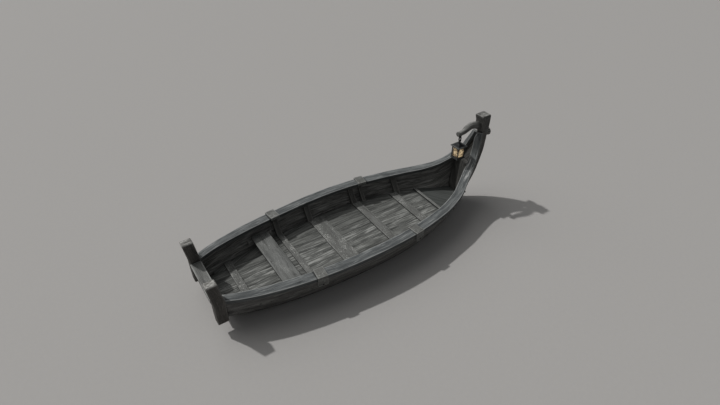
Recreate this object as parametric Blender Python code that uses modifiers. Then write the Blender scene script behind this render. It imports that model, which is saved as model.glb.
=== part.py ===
"""Wooden riverboat with a lantern at the bow, standing on its flat bottom.

Metres, +Z up, +X towards the bow, +Y to port. The origin is under the middle of the hull,
on the ground. The hull is drawn by two lines, the chine and the outer top edge of the rail,
and every plank, rib and board takes its shape from them.
"""
import math

import bmesh
import bpy
import numpy as np
from mathutils import Matrix, Vector

# The lines are drawn from a frame amidships, and the whole boat is then moved this far along X,
# so that the origin lies under the middle of its length.
CENTRE_SHIFT = -0.0540
GAP = 0.0004
SIDES = (("port", 1), ("starboard", -1))

# Hull lines, one row per station from the transom to the stem.
# Columns: rail x, rail half breadth, rail top height, chine x, chine half breadth, chine height.
STATIONS = (
    (-2.390, 0.530, 0.585, -2.390, 0.385, 0.150),
    (-2.200, 0.612, 0.581, -2.200, 0.425, 0.115),
    (-1.900, 0.703, 0.573, -1.900, 0.475, 0.070),
    (-1.500, 0.786, 0.565, -1.500, 0.525, 0.032),
    (-1.000, 0.851, 0.558, -1.000, 0.572, 0.007),
    (-0.500, 0.886, 0.563, -0.500, 0.598, 0.000),
    (0.000, 0.890, 0.565, 0.000, 0.603, 0.000),
    (0.500, 0.855, 0.560, 0.500, 0.577, 0.000),
    (0.950, 0.780, 0.556, 0.900, 0.514, 0.011),
    (1.350, 0.682, 0.562, 1.250, 0.410, 0.033),
    (1.700, 0.540, 0.594, 1.570, 0.287, 0.062),
    (1.920, 0.412, 0.672, 1.800, 0.202, 0.088),
    (2.080, 0.320, 0.775, 1.970, 0.155, 0.105),
    (2.200, 0.262, 0.880, 2.080, 0.125, 0.120),
    (2.300, 0.201, 0.985, 2.150, 0.098, 0.137),
    (2.370, 0.157, 1.130, 2.200, 0.077, 0.157),
    (2.438, 0.104, 1.300, 2.225, 0.058, 0.175),
)
STEPS_PER_STATION = 2

# Planking
STRAKE_THICKNESS = 0.022
STRAKE_NAMES = ("lower", "middle", "upper")
LAP_FRACTIONS = (0.0, 0.36, 0.68, 1.0)
LAP_HEIGHT = 0.030
LAP_GAP = 0.0009
LAP_KNEE = 0.002
RAIL_HEIGHT = 0.060
RAIL_WIDTH_MIDSHIPS = 0.160
RAIL_WIDTH_ENDS = 0.118
RAIL_OVERHANG = 0.030
RAIL_CENTRE_GAP = 0.003
RAIL_SEAT_GAP = 0.0009
RAIL_EDGE = 0.006
BOTTOM_THICKNESS = 0.028
BOTTOM_CENTRE_HALF = 0.220
BOTTOM_LEAST_WIDTH = 0.012

# Stern
HULL_AFT_X = -2.3894
POST_AFT_X = -2.545
POST_DEPTH = 0.155
POST_INNER_Y = 0.395
POST_OUTER_Y = 0.525
POST_LOW_Z = 0.185
POST_HIGH_Z = 0.910
POST_RAKE = 0.040
POST_CROWN = 0.022
TRANSOM_THICKNESS = 0.050
TRANSOM_LOW_Z = 0.150
TRANSOM_CAP_HEIGHT = 0.055
TRANSOM_TOP_Z = 0.555
TRANSOM_INSET = 0.002
TRANSOM_CAP_OVERHANG = 0.004

# Floor
FLOOR_TOP_Z = 0.218
FLOOR_THICKNESS = 0.020
# Half breadths at which one floor plank ends and the next begins, from starboard to port.
FLOOR_EDGES = (-0.740, -0.420, -0.265, -0.120, 0.070, 0.215, 0.370, 0.740)
FLOOR_AFT_X = -2.388
FLOOR_FORWARD_X = 1.445
SOLE_FORWARD_X = 2.055
BEARER_WIDTH = 0.060
BEARER_X = (-1.800, -0.200, 1.4465)
FLOOR_SEAM = 0.004
FLOOR_RING_SPACING = 0.240
FLOOR_LEAST_WIDTH = 0.030
FLOOR_WALL_GAP = 0.004
SOLE_SEAM = 0.003
RIB_HEIGHT = 0.026
# Floor ribs. Columns: name, aft x, forward x, height above the floor.
FLOOR_RIBS = (
    ("floor_rib_stern", -2.080, -1.967, RIB_HEIGHT),
    ("floor_rib_aft", -1.140, -1.045, RIB_HEIGHT),
    ("foot_board", -0.543, -0.284, 0.020),
    ("floor_rib_middle", 0.300, 0.441, RIB_HEIGHT),
    ("floor_rib_forward", 0.995, 1.130, RIB_HEIGHT),
    ("sole_batten", 1.452, 1.500, 0.030),
)
# Side ribs. Columns: name, aft x, forward x, thickness.
SIDE_RIBS = (
    ("side_rib_aft", -1.140, -1.050, 0.045),
    ("side_rib_board", -0.560, -0.470, 0.045),
    ("side_rib_middle", 0.300, 0.390, 0.045),
    ("side_rib_narrow", 0.505, 0.565, 0.034),
    ("side_rib_forward", 1.110, 1.200, 0.045),
)
SIDE_RIB_RINGS = 4
SIDE_RIB_WALL_GAP = 0.0025
SIDE_RIB_TOP_GAP = 0.004

# Thwart
THWART_AFT_X = -1.550
THWART_FORWARD_X = -1.275
THWART_TOP_Z = 0.372
THWART_THICKNESS = 0.036
RISER_DEPTH = 0.046
RISER_HEIGHT = 0.050
RISER_OVERRUN = 0.070
RISER_WALL_GAP = 0.0008
THWART_WALL_GAP = 0.006

# Saddles over the rails. Columns: name, aft x, forward x.
SADDLES = (
    ("saddle_aft", -1.200, -1.050),
    ("saddle_forward", 0.480, 0.630),
)
SADDLE_THICKNESS = 0.018
SADDLE_SEAT_GAP = 0.0006
SADDLE_SIDE_GAP = 0.0014
SADDLE_OUTER_LEG = 0.150
SADDLE_INNER_LEG = 0.038

# Stem, one row per ring from the foot to the head.
# Columns: front x, front z, aft x, aft z, half width.
STEM_RINGS = (
    (2.105, 0.104, 2.105, 0.290, 0.088),
    (2.200, 0.118, 2.130, 0.310, 0.060),
    (2.265, 0.165, 2.155, 0.345, 0.055),
    (2.318, 0.235, 2.185, 0.400, 0.055),
    (2.400, 0.360, 2.235, 0.490, 0.055),
    (2.470, 0.510, 2.290, 0.600, 0.056),
    (2.530, 0.690, 2.345, 0.740, 0.057),
    (2.576, 0.870, 2.390, 0.900, 0.058),
    (2.600, 1.050, 2.430, 1.060, 0.059),
    (2.609, 1.200, 2.465, 1.200, 0.060),
    (2.611, 1.306, 2.480, 1.306, 0.060),
    (2.611, 1.322, 2.430, 1.322, 0.071),
    (2.604, 1.500, 2.430, 1.500, 0.083),
    (2.597, 1.578, 2.408, 1.578, 0.088),
    (2.577, 1.600, 2.430, 1.600, 0.066),
)
# Apron, the board that closes the bow inside. Columns: height, aft x.
APRON_RINGS = ((0.200, 2.060), (0.300, 2.065), (0.450, 2.105), (0.650, 2.160), (0.780, 2.200), (0.812, 2.228))
APRON_THICKNESS = 0.040
BOW_WALL_GAP = 0.008
BREASTHOOK_AFT_X = 2.250
BREASTHOOK_FORWARD_X = 2.352
BREASTHOOK_LOW_Z = 0.8124
BREASTHOOK_THICKNESS = 0.026

# Stem peg
PEG_Z = 1.232
PEG_RADIUS = 0.072
PEG_LENGTH = 0.0786

# Lantern and its arm
LANTERN_X = 2.030
ARM_RADIUS = 0.040
# Arm centre line. Columns: x, z, radius factor.
ARM_PATH = (
    (2.4296, 1.424, 1.60),
    (2.418, 1.424, 1.60),
    (2.405, 1.424, 1.60),
    (2.370, 1.432, 1.58),
    (2.310, 1.450, 1.55),
    (2.250, 1.456, 1.52),
    (2.195, 1.444, 1.47),
    (2.150, 1.421, 1.38),
    (2.105, 1.396, 1.20),
    (2.060, 1.384, 1.08),
    (2.005, 1.380, 1.05),
    (1.962, 1.384, 1.05),
)
ARM_EYE_RADIUS = 0.0175
ARM_EYE_WIRE = 0.006
PIVOT_Z = 1.322
LINK_RADIUS = 0.008
LINK_LENGTH = 0.085
LINK_HALF_WIDTH = 0.020
LINK_CORNER = 0.014
EYE_RADIUS = 0.018
EYE_WIRE = 0.005
EYE_STEPS = 16
EAVE_Z = 1.142
# Roof sections. Columns: half width, height above the eaves.
ROOF_RINGS = (
    (0.090, 0.0),
    (0.100, 0.002),
    (0.100, 0.011),
    (0.044, 0.014),
    (0.041, 0.023),
    (0.022, 0.039),
    (0.014, 0.048),
)
CAGE_HALF = 0.078
CAGE_LOW_Z = 0.940
CAGE_BAR = 0.014
CAGE_TOP_BAR = 0.024
BASE_HALF = 0.088
BASE_LOW_Z = 0.918
GLASS_HALF = 0.0632
GLASS_THICKNESS = 0.004
CANDLE_RADIUS = 0.022
CANDLE_HEIGHT = 0.090

# Finishes. Columns: colour, roughness, metallic.
FINISHES = {
    "hull_wood": ((0.070, 0.062, 0.055), 0.75, 0.0),
    "rail_wood": ((0.130, 0.145, 0.145), 0.65, 0.0),
    "floor_wood": ((0.170, 0.172, 0.165), 0.70, 0.0),
    "post_wood": ((0.085, 0.075, 0.068), 0.75, 0.0),
    "iron": ((0.030, 0.030, 0.034), 0.55, 0.8),
    "glass": ((0.700, 0.480, 0.220), 0.30, 0.0),
    "wax": ((0.800, 0.700, 0.500), 0.50, 0.0),
}


def clear_scene():
    for obj in list(bpy.data.objects):
        bpy.data.objects.remove(obj, do_unlink=True)
    for mesh in list(bpy.data.meshes):
        bpy.data.meshes.remove(mesh)


def new_collection(name):
    collection = bpy.data.collections.new(name)
    bpy.context.scene.collection.children.link(collection)
    return collection


def finish_material(name):
    material = bpy.data.materials.get(name)
    if material is None:
        colour, roughness, metallic = FINISHES[name]
        material = bpy.data.materials.new(name)
        material.use_nodes = True
        shader = material.node_tree.nodes["Principled BSDF"]
        shader.inputs["Base Color"].default_value = (*colour, 1.0)
        shader.inputs["Roughness"].default_value = roughness
        shader.inputs["Metallic"].default_value = metallic
    return material


def add_mesh_object(name, mesh, finish):
    obj = bpy.data.objects.new(name, mesh)
    mesh.materials.clear()
    mesh.materials.append(finish_material(finish))
    BOAT.objects.link(obj)
    return obj


def bevel_edges(obj, width, segments=1):
    bevel = obj.modifiers.new("Bevel", "BEVEL")
    bevel.width = width
    bevel.segments = segments
    bevel.limit_method = "ANGLE"
    bevel.angle_limit = math.radians(40)


def mesh_from_bmesh(name, shape):
    bmesh.ops.recalc_face_normals(shape, faces=shape.faces[:])
    mesh = bpy.data.meshes.new(name)
    shape.to_mesh(mesh)
    shape.free()
    return mesh


def loft(name, rings, finish, triangles=False):
    """Closed solid through like rings of points, with a flat cap on each end ring.

    With triangles, each four-sided face is split along its shorter diagonal, so two twisted
    planks that lie on each other bend the same way.
    """
    shape = bmesh.new()
    rows = [[shape.verts.new(point) for point in ring] for ring in rings]
    count = len(rows[0])
    for row, following in zip(rows, rows[1:]):
        for i in range(count):
            j = (i + 1) % count
            a, b, c, d = row[i], row[j], following[j], following[i]
            if not triangles:
                shape.faces.new((a, b, c, d))
            elif (a.co - c.co).length <= (b.co - d.co).length:
                shape.faces.new((a, b, c))
                shape.faces.new((a, c, d))
            else:
                shape.faces.new((a, b, d))
                shape.faces.new((b, c, d))
    shape.faces.new(rows[0])
    shape.faces.new(rows[-1])
    return add_mesh_object(name, mesh_from_bmesh(name, shape), finish)


def board(name, low, high, finish, edge=0.004):
    """Straight board between two corners, with worn edges."""
    shape = bmesh.new()
    bmesh.ops.create_cube(shape, size=1.0)
    size = Vector(high) - Vector(low)
    middle = (Vector(high) + Vector(low)) / 2
    bmesh.ops.scale(shape, vec=size, verts=shape.verts)
    bmesh.ops.translate(shape, vec=middle, verts=shape.verts)
    obj = add_mesh_object(name, mesh_from_bmesh(name, shape), finish)
    if edge > 0:
        bevel_edges(obj, edge)
    return obj


def smooth_rows(rows, steps):
    """Catmull-Rom curve through the rows, with straight extrapolation past both ends."""
    rows = np.array(rows, dtype=float)
    before = 2 * rows[0] - rows[1]
    after = 2 * rows[-1] - rows[-2]
    points = np.vstack((before, rows, after))
    result = []
    for i in range(1, len(points) - 2):
        a, b, c, d = points[i - 1:i + 3]
        for step in range(steps):
            t = step / steps
            result.append(0.5 * (2 * b + (c - a) * t + (2 * a - 5 * b + 4 * c - d) * t ** 2
                                 + (3 * b - a - 3 * c + d) * t ** 3))
    result.append(points[-2])
    return np.array(result)


def unit(vectors):
    return vectors / np.linalg.norm(vectors, axis=-1, keepdims=True)


class HullLines:
    """The port side's lines: rail, laps and chine, with one point per ring on each."""

    def __init__(self):
        table = smooth_rows(STATIONS, STEPS_PER_STATION)
        self.rail_outer = table[:, 0:3]
        self.chine = table[:, 3:6]
        self.chine[:, 2] = np.maximum(self.chine[:, 2], 0.0)
        along = unit(np.gradient(self.rail_outer, axis=0))
        inward = np.stack((along[:, 1], -along[:, 0], np.zeros(len(along))), axis=1)
        self.rail_inward = unit(inward)
        down = np.cross(along, self.rail_inward)
        self.rail_down = unit(down)
        x = self.rail_outer[:, 0]
        fullness = np.clip(1 - (x / 2.4) ** 4, 0, 1)
        width = RAIL_WIDTH_ENDS + (RAIL_WIDTH_MIDSHIPS - RAIL_WIDTH_ENDS) * fullness
        underside_y = self.rail_outer[:, 1] + self.rail_down[:, 1] * RAIL_HEIGHT
        to_centre = (underside_y - RAIL_CENTRE_GAP) / -self.rail_inward[:, 1]
        self.rail_width = np.minimum(width, to_centre)
        overhang = RAIL_OVERHANG * np.clip(self.rail_outer[:, 1:2] / 0.4, 0.3, 1.0)
        sheer = self.rail_outer + self.rail_down * (RAIL_HEIGHT + RAIL_SEAT_GAP) + self.rail_inward * overhang
        self.laps = [self.chine + (sheer - self.chine) * f for f in LAP_FRACTIONS]
        lengthwise = unit(np.gradient((self.chine + sheer) / 2, axis=0))
        upward = unit(sheer - self.chine)
        self.outward = unit(np.cross(upward, lengthwise))

    def section(self, x):
        """Points of the chine, laps and sheer in the plane across the boat at x."""
        points = []
        for line in self.laps:
            y = np.interp(x, line[:, 0], line[:, 1])
            z = np.interp(x, line[:, 0], line[:, 2])
            points.append((y, z))
        return points

    def inner_y(self, x, z):
        """Half breadth inside the planking at x and height z."""
        points = self.section(x)
        return float(np.interp(z, [p[1] for p in points], [p[0] for p in points]))

    def middle_strake_y(self, x, z):
        """Half breadth of the middle strake's inner face, which leans out to the lap at its foot."""
        foot, top = self.section(x)[1:3]
        outward = [float(np.interp(x, self.laps[1][:, 0], self.outward[:, i])) for i in (1, 2)]
        foot_y = foot[0] + outward[0] * STRAKE_THICKNESS
        foot_z = foot[1] + outward[1] * STRAKE_THICKNESS
        return foot_y + (top[0] - foot_y) * (z - foot_z) / (top[1] - foot_z)

    def rail_frame(self, x):
        """Outer top point, inward and down directions and width of the rail at x."""
        line = self.rail_outer
        origin = np.array([x, np.interp(x, line[:, 0], line[:, 1]), np.interp(x, line[:, 0], line[:, 2])])
        inward = np.array([np.interp(x, line[:, 0], self.rail_inward[:, i]) for i in range(3)])
        down = np.array([np.interp(x, line[:, 0], self.rail_down[:, i]) for i in range(3)])
        width = float(np.interp(x, line[:, 0], self.rail_width))
        return origin, inward, down, width


def mirrored(points, side):
    return [(p[0], p[1] * side, p[2]) for p in points]


def squared_off(points, side):
    """The points on one side of the boat, cut off square at the stern posts."""
    return [(max(p[0], HULL_AFT_X), p[1] * side, p[2]) for p in points]


def make_strakes(lines):
    """Three lapped planks a side, each outside the one below."""
    count = len(lines.chine)
    for side_name, side in SIDES:
        edges = None
        for index, name in enumerate(STRAKE_NAMES):
            rings = []
            own_edges = []
            for i in range(count):
                low = lines.laps[index][i]
                high = lines.laps[index + 1][i]
                out = lines.outward[i]
                if name == STRAKE_NAMES[-1]:
                    sideways = -lines.rail_inward[i]
                    top_outer = high + sideways * STRAKE_THICKNESS / float(out @ sideways)
                else:
                    top_outer = high + out * STRAKE_THICKNESS
                if index == 0:
                    low_outer = low + np.array([0, STRAKE_THICKNESS / out[1], 0])
                    ring = [low, high, top_outer]
                else:
                    edge, lap_point = edges[i]
                    low_inner = lap_point + out * LAP_GAP
                    knee = edge + out * LAP_GAP + unit(edge - lap_point) * LAP_KNEE
                    low_outer = low_inner + out * STRAKE_THICKNESS
                    ring = [low_inner, knee, high, top_outer]
                lap_point = top_outer + unit(low_outer - top_outer) * LAP_HEIGHT
                if name != STRAKE_NAMES[-1]:
                    ring.append(lap_point)
                ring.append(low_outer)
                own_edges.append((top_outer, lap_point))
                rings.append(squared_off(ring, side))
            edges = own_edges
            loft(f"strake_{name}_{side_name}", rings, "hull_wood", triangles=True)


def make_rails(lines):
    for side_name, side in SIDES:
        rings = []
        for origin, inward, down, width in zip(
                lines.rail_outer, lines.rail_inward, lines.rail_down, lines.rail_width):
            ring = [origin,
                    origin + inward * width,
                    origin + inward * width + down * RAIL_HEIGHT,
                    origin + down * RAIL_HEIGHT]
            rings.append(squared_off(ring, side))
        rail = loft(f"rail_{side_name}", rings, "rail_wood")
        bevel_edges(rail, RAIL_EDGE)


def make_bottom(lines):
    """Three bottom planks with the rocker of the chine."""
    chine = lines.chine
    forward_x = STEM_RINGS[0][0] - GAP
    xs = [x for x in chine[:, 0] if x < forward_x - 0.01] + [forward_x]
    centre = []
    for x in xs:
        y = float(np.interp(x, chine[:, 0], chine[:, 1])) - GAP
        z = float(np.interp(x, chine[:, 0], chine[:, 2]))
        half = min(BOTTOM_CENTRE_HALF, y)
        centre.append([(x, -half, z), (x, half, z), (x, half, z + BOTTOM_THICKNESS),
                       (x, -half, z + BOTTOM_THICKNESS)])
    loft("bottom_plank_centre", centre, "hull_wood")
    inner = BOTTOM_CENTRE_HALF + GAP
    for side_name, side in SIDES:
        rings = []
        for x in xs:
            y = float(np.interp(x, chine[:, 0], chine[:, 1])) - GAP
            z = float(np.interp(x, chine[:, 0], chine[:, 2]))
            if y - inner < BOTTOM_LEAST_WIDTH:
                break
            ring = [(x, inner, z), (x, y, z), (x, y, z + BOTTOM_THICKNESS), (x, inner, z + BOTTOM_THICKNESS)]
            rings.append(mirrored(ring, side))
        loft(f"bottom_plank_{side_name}", rings, "hull_wood")


def make_stern():
    post_forward_x = POST_AFT_X + POST_DEPTH
    for side_name, side in SIDES:
        rings = []
        for z, shift, inset in ((POST_LOW_Z, 0.0, 0.0), (TRANSOM_TOP_Z, 0.0, 0.0),
                                (POST_HIGH_Z - POST_CROWN, POST_RAKE * 0.94, 0.0),
                                (POST_HIGH_Z, POST_RAKE, POST_CROWN)):
            aft = POST_AFT_X - shift + inset
            forward = post_forward_x - shift - inset
            inner = POST_INNER_Y + inset
            outer = POST_OUTER_Y - inset
            ring = [(aft, inner, z), (forward, inner, z), (forward, outer, z), (aft, outer, z)]
            rings.append(mirrored(ring, side))
        post = loft(f"stern_post_{side_name}", rings, "post_wood")
        bevel_edges(post, 0.005)
    inside = POST_INNER_Y - GAP
    cap_low = TRANSOM_TOP_Z - TRANSOM_CAP_HEIGHT
    forward = post_forward_x - TRANSOM_INSET
    board("transom_board", (forward - TRANSOM_THICKNESS, -inside, TRANSOM_LOW_Z),
          (forward, inside, cap_low - GAP), "hull_wood")
    board("transom_cap", (POST_AFT_X - TRANSOM_CAP_OVERHANG, -inside, cap_low),
          (forward, inside, TRANSOM_TOP_Z), "rail_wood", RAIL_EDGE)


def make_stem(lines):
    rings = []
    for front_x, front_z, aft_x, aft_z, half in STEM_RINGS:
        rings.append([(front_x, half, front_z), (aft_x, half, aft_z),
                      (aft_x, -half, aft_z), (front_x, -half, front_z)])
    stem = loft("stem", rings, "post_wood")
    bevel_edges(stem, 0.006)
    rings = []
    for z, aft_x in APRON_RINGS:
        half_aft = lines.inner_y(aft_x, z) - BOW_WALL_GAP
        forward_x = aft_x + APRON_THICKNESS
        half_forward = min(half_aft, lines.inner_y(forward_x, z) - BOW_WALL_GAP)
        rings.append([(aft_x, half_aft, z), (forward_x, half_forward, z),
                      (forward_x, -half_forward, z), (aft_x, -half_aft, z)])
    loft("stem_apron", rings, "hull_wood")
    low = BREASTHOOK_LOW_Z
    high = low + BREASTHOOK_THICKNESS
    rings = []
    for x in (BREASTHOOK_AFT_X, (BREASTHOOK_AFT_X + BREASTHOOK_FORWARD_X) / 2, BREASTHOOK_FORWARD_X):
        half = min(lines.inner_y(x, low), lines.inner_y(x, high)) - BOW_WALL_GAP
        rings.append([(x, -half, low), (x, half, low), (x, half, high), (x, -half, high)])
    loft("breasthook", rings, "hull_wood")
    shape = bmesh.new()
    front = np.interp(PEG_Z + PEG_RADIUS, [r[1] for r in STEM_RINGS], [r[0] for r in STEM_RINGS])
    turn = Matrix.Rotation(math.radians(90), 4, "Y")
    centre = Matrix.Translation((front + GAP + PEG_LENGTH / 2, 0, PEG_Z))
    bmesh.ops.create_cone(shape, cap_ends=True, segments=12, radius1=PEG_RADIUS * 0.86, radius2=PEG_RADIUS,
                          depth=PEG_LENGTH, matrix=centre @ turn)
    peg = add_mesh_object("stem_peg", mesh_from_bmesh("stem_peg", shape), "post_wood")
    bevel_edges(peg, 0.010)


def make_floor(lines):
    """Lengthwise planks on bearers, with ribs across them and a sole in the bow."""
    low_z = FLOOR_TOP_Z - FLOOR_THICKNESS
    stops = np.arange(FLOOR_AFT_X, FLOOR_FORWARD_X, FLOOR_RING_SPACING)
    xs = sorted(set(round(float(x), 4) for x in stops) | {FLOOR_FORWARD_X})
    for number, (first_edge, second_edge) in enumerate(zip(FLOOR_EDGES, FLOOR_EDGES[1:])):
        rings = []
        for x in xs:
            limit = lines.inner_y(x, low_z) - FLOOR_WALL_GAP
            y0 = max(first_edge + FLOOR_SEAM / 2, -limit)
            y1 = min(second_edge - FLOOR_SEAM / 2, limit)
            if y1 - y0 < FLOOR_LEAST_WIDTH:
                continue
            rings.append([(x, y0, low_z), (x, y1, low_z), (x, y1, FLOOR_TOP_Z), (x, y0, FLOOR_TOP_Z)])
        loft(f"floor_plank_{number + 1}", rings, "floor_wood")
    for number, x in enumerate(BEARER_X):
        half_width = BEARER_WIDTH / 2
        rings = []
        for end in (x - half_width, x + half_width):
            ground = max(float(np.interp(v, lines.chine[:, 0], lines.chine[:, 2]))
                         for v in (x - half_width, x, x + half_width))
            base = ground + BOTTOM_THICKNESS + GAP
            foot = lines.inner_y(end, base) - FLOOR_WALL_GAP
            shoulder = lines.inner_y(end, low_z) - FLOOR_WALL_GAP
            rings.append([(end, -foot, base), (end, foot, base), (end, shoulder, low_z - GAP),
                          (end, -shoulder, low_z - GAP)])
        loft(f"floor_bearer_{number + 1}", rings, "hull_wood")
    for name, aft_x, forward_x, height in FLOOR_RIBS:
        base = FLOOR_TOP_Z + GAP
        half = min(lines.inner_y(aft_x, base), lines.inner_y(forward_x, base)) - FLOOR_WALL_GAP
        thickness = max([rib[3] for rib in SIDE_RIBS if rib[1] < forward_x and rib[2] > aft_x] + [0.0])
        half = half - thickness - (GAP if thickness else 0.0)
        board(name, (aft_x, -half, base), (forward_x, half, base + height), "floor_wood", 0.005)
    rings = []
    for x in np.linspace(FLOOR_FORWARD_X + SOLE_SEAM, SOLE_FORWARD_X, 8):
        x = float(x)
        half = lines.inner_y(x, low_z) - FLOOR_WALL_GAP
        rings.append([(x, -half, low_z), (x, half, low_z), (x, half, FLOOR_TOP_Z), (x, -half, FLOOR_TOP_Z)])
    loft("bow_sole", rings, "floor_wood")


def make_side_ribs(lines):
    """Timbers on the inside of the planking, from the floor to under the rail."""
    low = FLOOR_TOP_Z + GAP
    for name, aft_x, forward_x, thickness in SIDE_RIBS:
        high = min(lines.section(aft_x)[-1][1], lines.section(forward_x)[-1][1]) - SIDE_RIB_TOP_GAP
        for side_name, side in SIDES:
            rings = []
            for z in np.linspace(low, high, SIDE_RIB_RINGS):
                aft_y = lines.inner_y(aft_x, z) - SIDE_RIB_WALL_GAP
                forward_y = lines.inner_y(forward_x, z) - SIDE_RIB_WALL_GAP
                points = [(aft_x, aft_y, z), (forward_x, forward_y, z),
                          (forward_x, forward_y - thickness, z), (aft_x, aft_y - thickness, z)]
                rings.append(mirrored(points, side))
            rib = loft(f"{name}_{side_name}", rings, "hull_wood")
            bevel_edges(rib, 0.005)


def make_thwart(lines):
    low = THWART_TOP_Z - THWART_THICKNESS
    half = min(lines.inner_y(x, low) for x in (THWART_AFT_X, THWART_FORWARD_X)) - THWART_WALL_GAP
    board("thwart", (THWART_AFT_X, -half, low), (THWART_FORWARD_X, half, THWART_TOP_Z), "floor_wood", 0.006)
    for side_name, side in SIDES:
        rings = []
        for x in (THWART_AFT_X - RISER_OVERRUN, THWART_FORWARD_X + RISER_OVERRUN):
            top = low - GAP
            base = top - RISER_HEIGHT
            wall_low = lines.middle_strake_y(x, base) - RISER_WALL_GAP
            wall_high = lines.middle_strake_y(x, top) - RISER_WALL_GAP
            ring = [(x, wall_low, base), (x, wall_high, top), (x, wall_high - RISER_DEPTH, top),
                    (x, wall_low - RISER_DEPTH, base)]
            rings.append(mirrored(ring, side))
        loft(f"thwart_riser_{side_name}", rings, "hull_wood")


def make_saddles(lines):
    """Wooden saddles that clamp over the rail, with a long leg outside and a short lip inside."""
    for name, aft_x, forward_x in SADDLES:
        for side_name, side in SIDES:
            rings = []
            for x in np.linspace(aft_x, forward_x, 3):
                origin, inward, down, width = lines.rail_frame(float(x))
                inner = width + SADDLE_SIDE_GAP
                lip = inner + SADDLE_THICKNESS
                outer = -SADDLE_SIDE_GAP
                leg = outer - SADDLE_THICKNESS
                seat = -SADDLE_SEAT_GAP
                top = seat - SADDLE_THICKNESS

                def place(across, depth):
                    return origin + inward * across + down * depth

                ring = [place(outer, seat), place(inner, seat), place(inner, SADDLE_INNER_LEG),
                        place(lip, SADDLE_INNER_LEG), place(lip, top), place(leg, top),
                        place(leg, SADDLE_OUTER_LEG), place(outer, SADDLE_OUTER_LEG)]
                rings.append(mirrored(ring, side))
            loft(f"{name}_{side_name}", rings, "post_wood")


def wire(name, points, radius, cyclic, finish):
    """Round bar along points, as a mesh with closed ends."""
    curve = bpy.data.curves.new(name, "CURVE")
    curve.dimensions = "3D"
    curve.bevel_depth = radius
    curve.bevel_resolution = 2
    curve.use_fill_caps = True
    spline = curve.splines.new("POLY")
    spline.points.add(len(points) - 1)
    for point, place in zip(spline.points, points):
        point.co = (place[0], place[1], place[2], 1.0)
        point.radius = place[3] if len(place) > 3 else 1.0
    spline.use_cyclic_u = cyclic
    curve_object = bpy.data.objects.new(name + "_curve", curve)
    BOAT.objects.link(curve_object)
    mesh = bpy.data.meshes.new_from_object(curve_object.evaluated_get(bpy.context.evaluated_depsgraph_get()))
    mesh.name = name
    shape = bmesh.new()
    shape.from_mesh(mesh)
    bmesh.ops.remove_doubles(shape, verts=shape.verts, dist=0.00001)
    bmesh.ops.recalc_face_normals(shape, faces=shape.faces[:])
    shape.to_mesh(mesh)
    shape.free()
    bpy.data.objects.remove(curve_object, do_unlink=True)
    return add_mesh_object(name, mesh, finish)


def cutter_from(name, shape):
    mesh = mesh_from_bmesh(name, shape)
    obj = bpy.data.objects.new(name, mesh)
    obj.hide_render = True
    obj.display_type = "WIRE"
    CUTTERS.objects.link(obj)
    return obj


def combine(obj, other, operation):
    boolean = obj.modifiers.new(operation.title(), "BOOLEAN")
    boolean.operation = operation
    boolean.object = other
    boolean.solver = "EXACT"


def eye_ring(name, centre, radius, thickness):
    """Upright ring of round wire in the fore and aft plane, to be joined to what carries it."""
    points = []
    for step in range(EYE_STEPS):
        angle = math.tau * step / EYE_STEPS
        points.append((centre[0] + radius * math.cos(angle), 0.0, centre[1] + radius * math.sin(angle)))
    ring = wire(name, points, thickness, True, "iron")
    ring.hide_render = True
    ring.display_type = "WIRE"
    BOAT.objects.unlink(ring)
    CUTTERS.objects.link(ring)
    return ring


def make_arm():
    """Bent wooden arm on the stem head, with the eye that the link hangs in under its tip."""
    rows = [(x, 0.0, z, factor) for x, z, factor in ARM_PATH]
    arm = wire("lantern_arm", smooth_rows(rows, 2), ARM_RADIUS, False, "post_wood")
    centre_z = PIVOT_Z + ARM_EYE_RADIUS - ARM_EYE_WIRE - LINK_RADIUS - GAP
    combine(arm, eye_ring("arm_eye_form", (LANTERN_X, centre_z), ARM_EYE_RADIUS, ARM_EYE_WIRE), "UNION")


def rounded_loop(half, top, bottom, corner, arc_steps=4):
    """Loop in the plane across the boat, as points (y, z)."""
    centres = ((half - corner, top - corner, 0), (-half + corner, top - corner, 90),
               (-half + corner, bottom + corner, 180), (half - corner, bottom + corner, 270))
    points = []
    for y, z, start in centres:
        for step in range(arc_steps + 1):
            angle = math.radians(start + 90 * step / arc_steps)
            points.append((y + corner * math.cos(angle), z + corner * math.sin(angle)))
    return points


def make_link():
    """Iron link that hangs in the arm's eye and swings fore and aft."""
    pivot = bpy.data.objects.new("link_pivot", None)
    pivot.location = (LANTERN_X, 0, PIVOT_Z)
    BOAT.objects.link(pivot)
    outline = rounded_loop(LINK_HALF_WIDTH, 0.0, -LINK_LENGTH, LINK_CORNER)
    link = wire("lantern_link", [(0.0, y, z) for y, z in outline], LINK_RADIUS, True, "iron")
    link.parent = pivot
    return pivot


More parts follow.
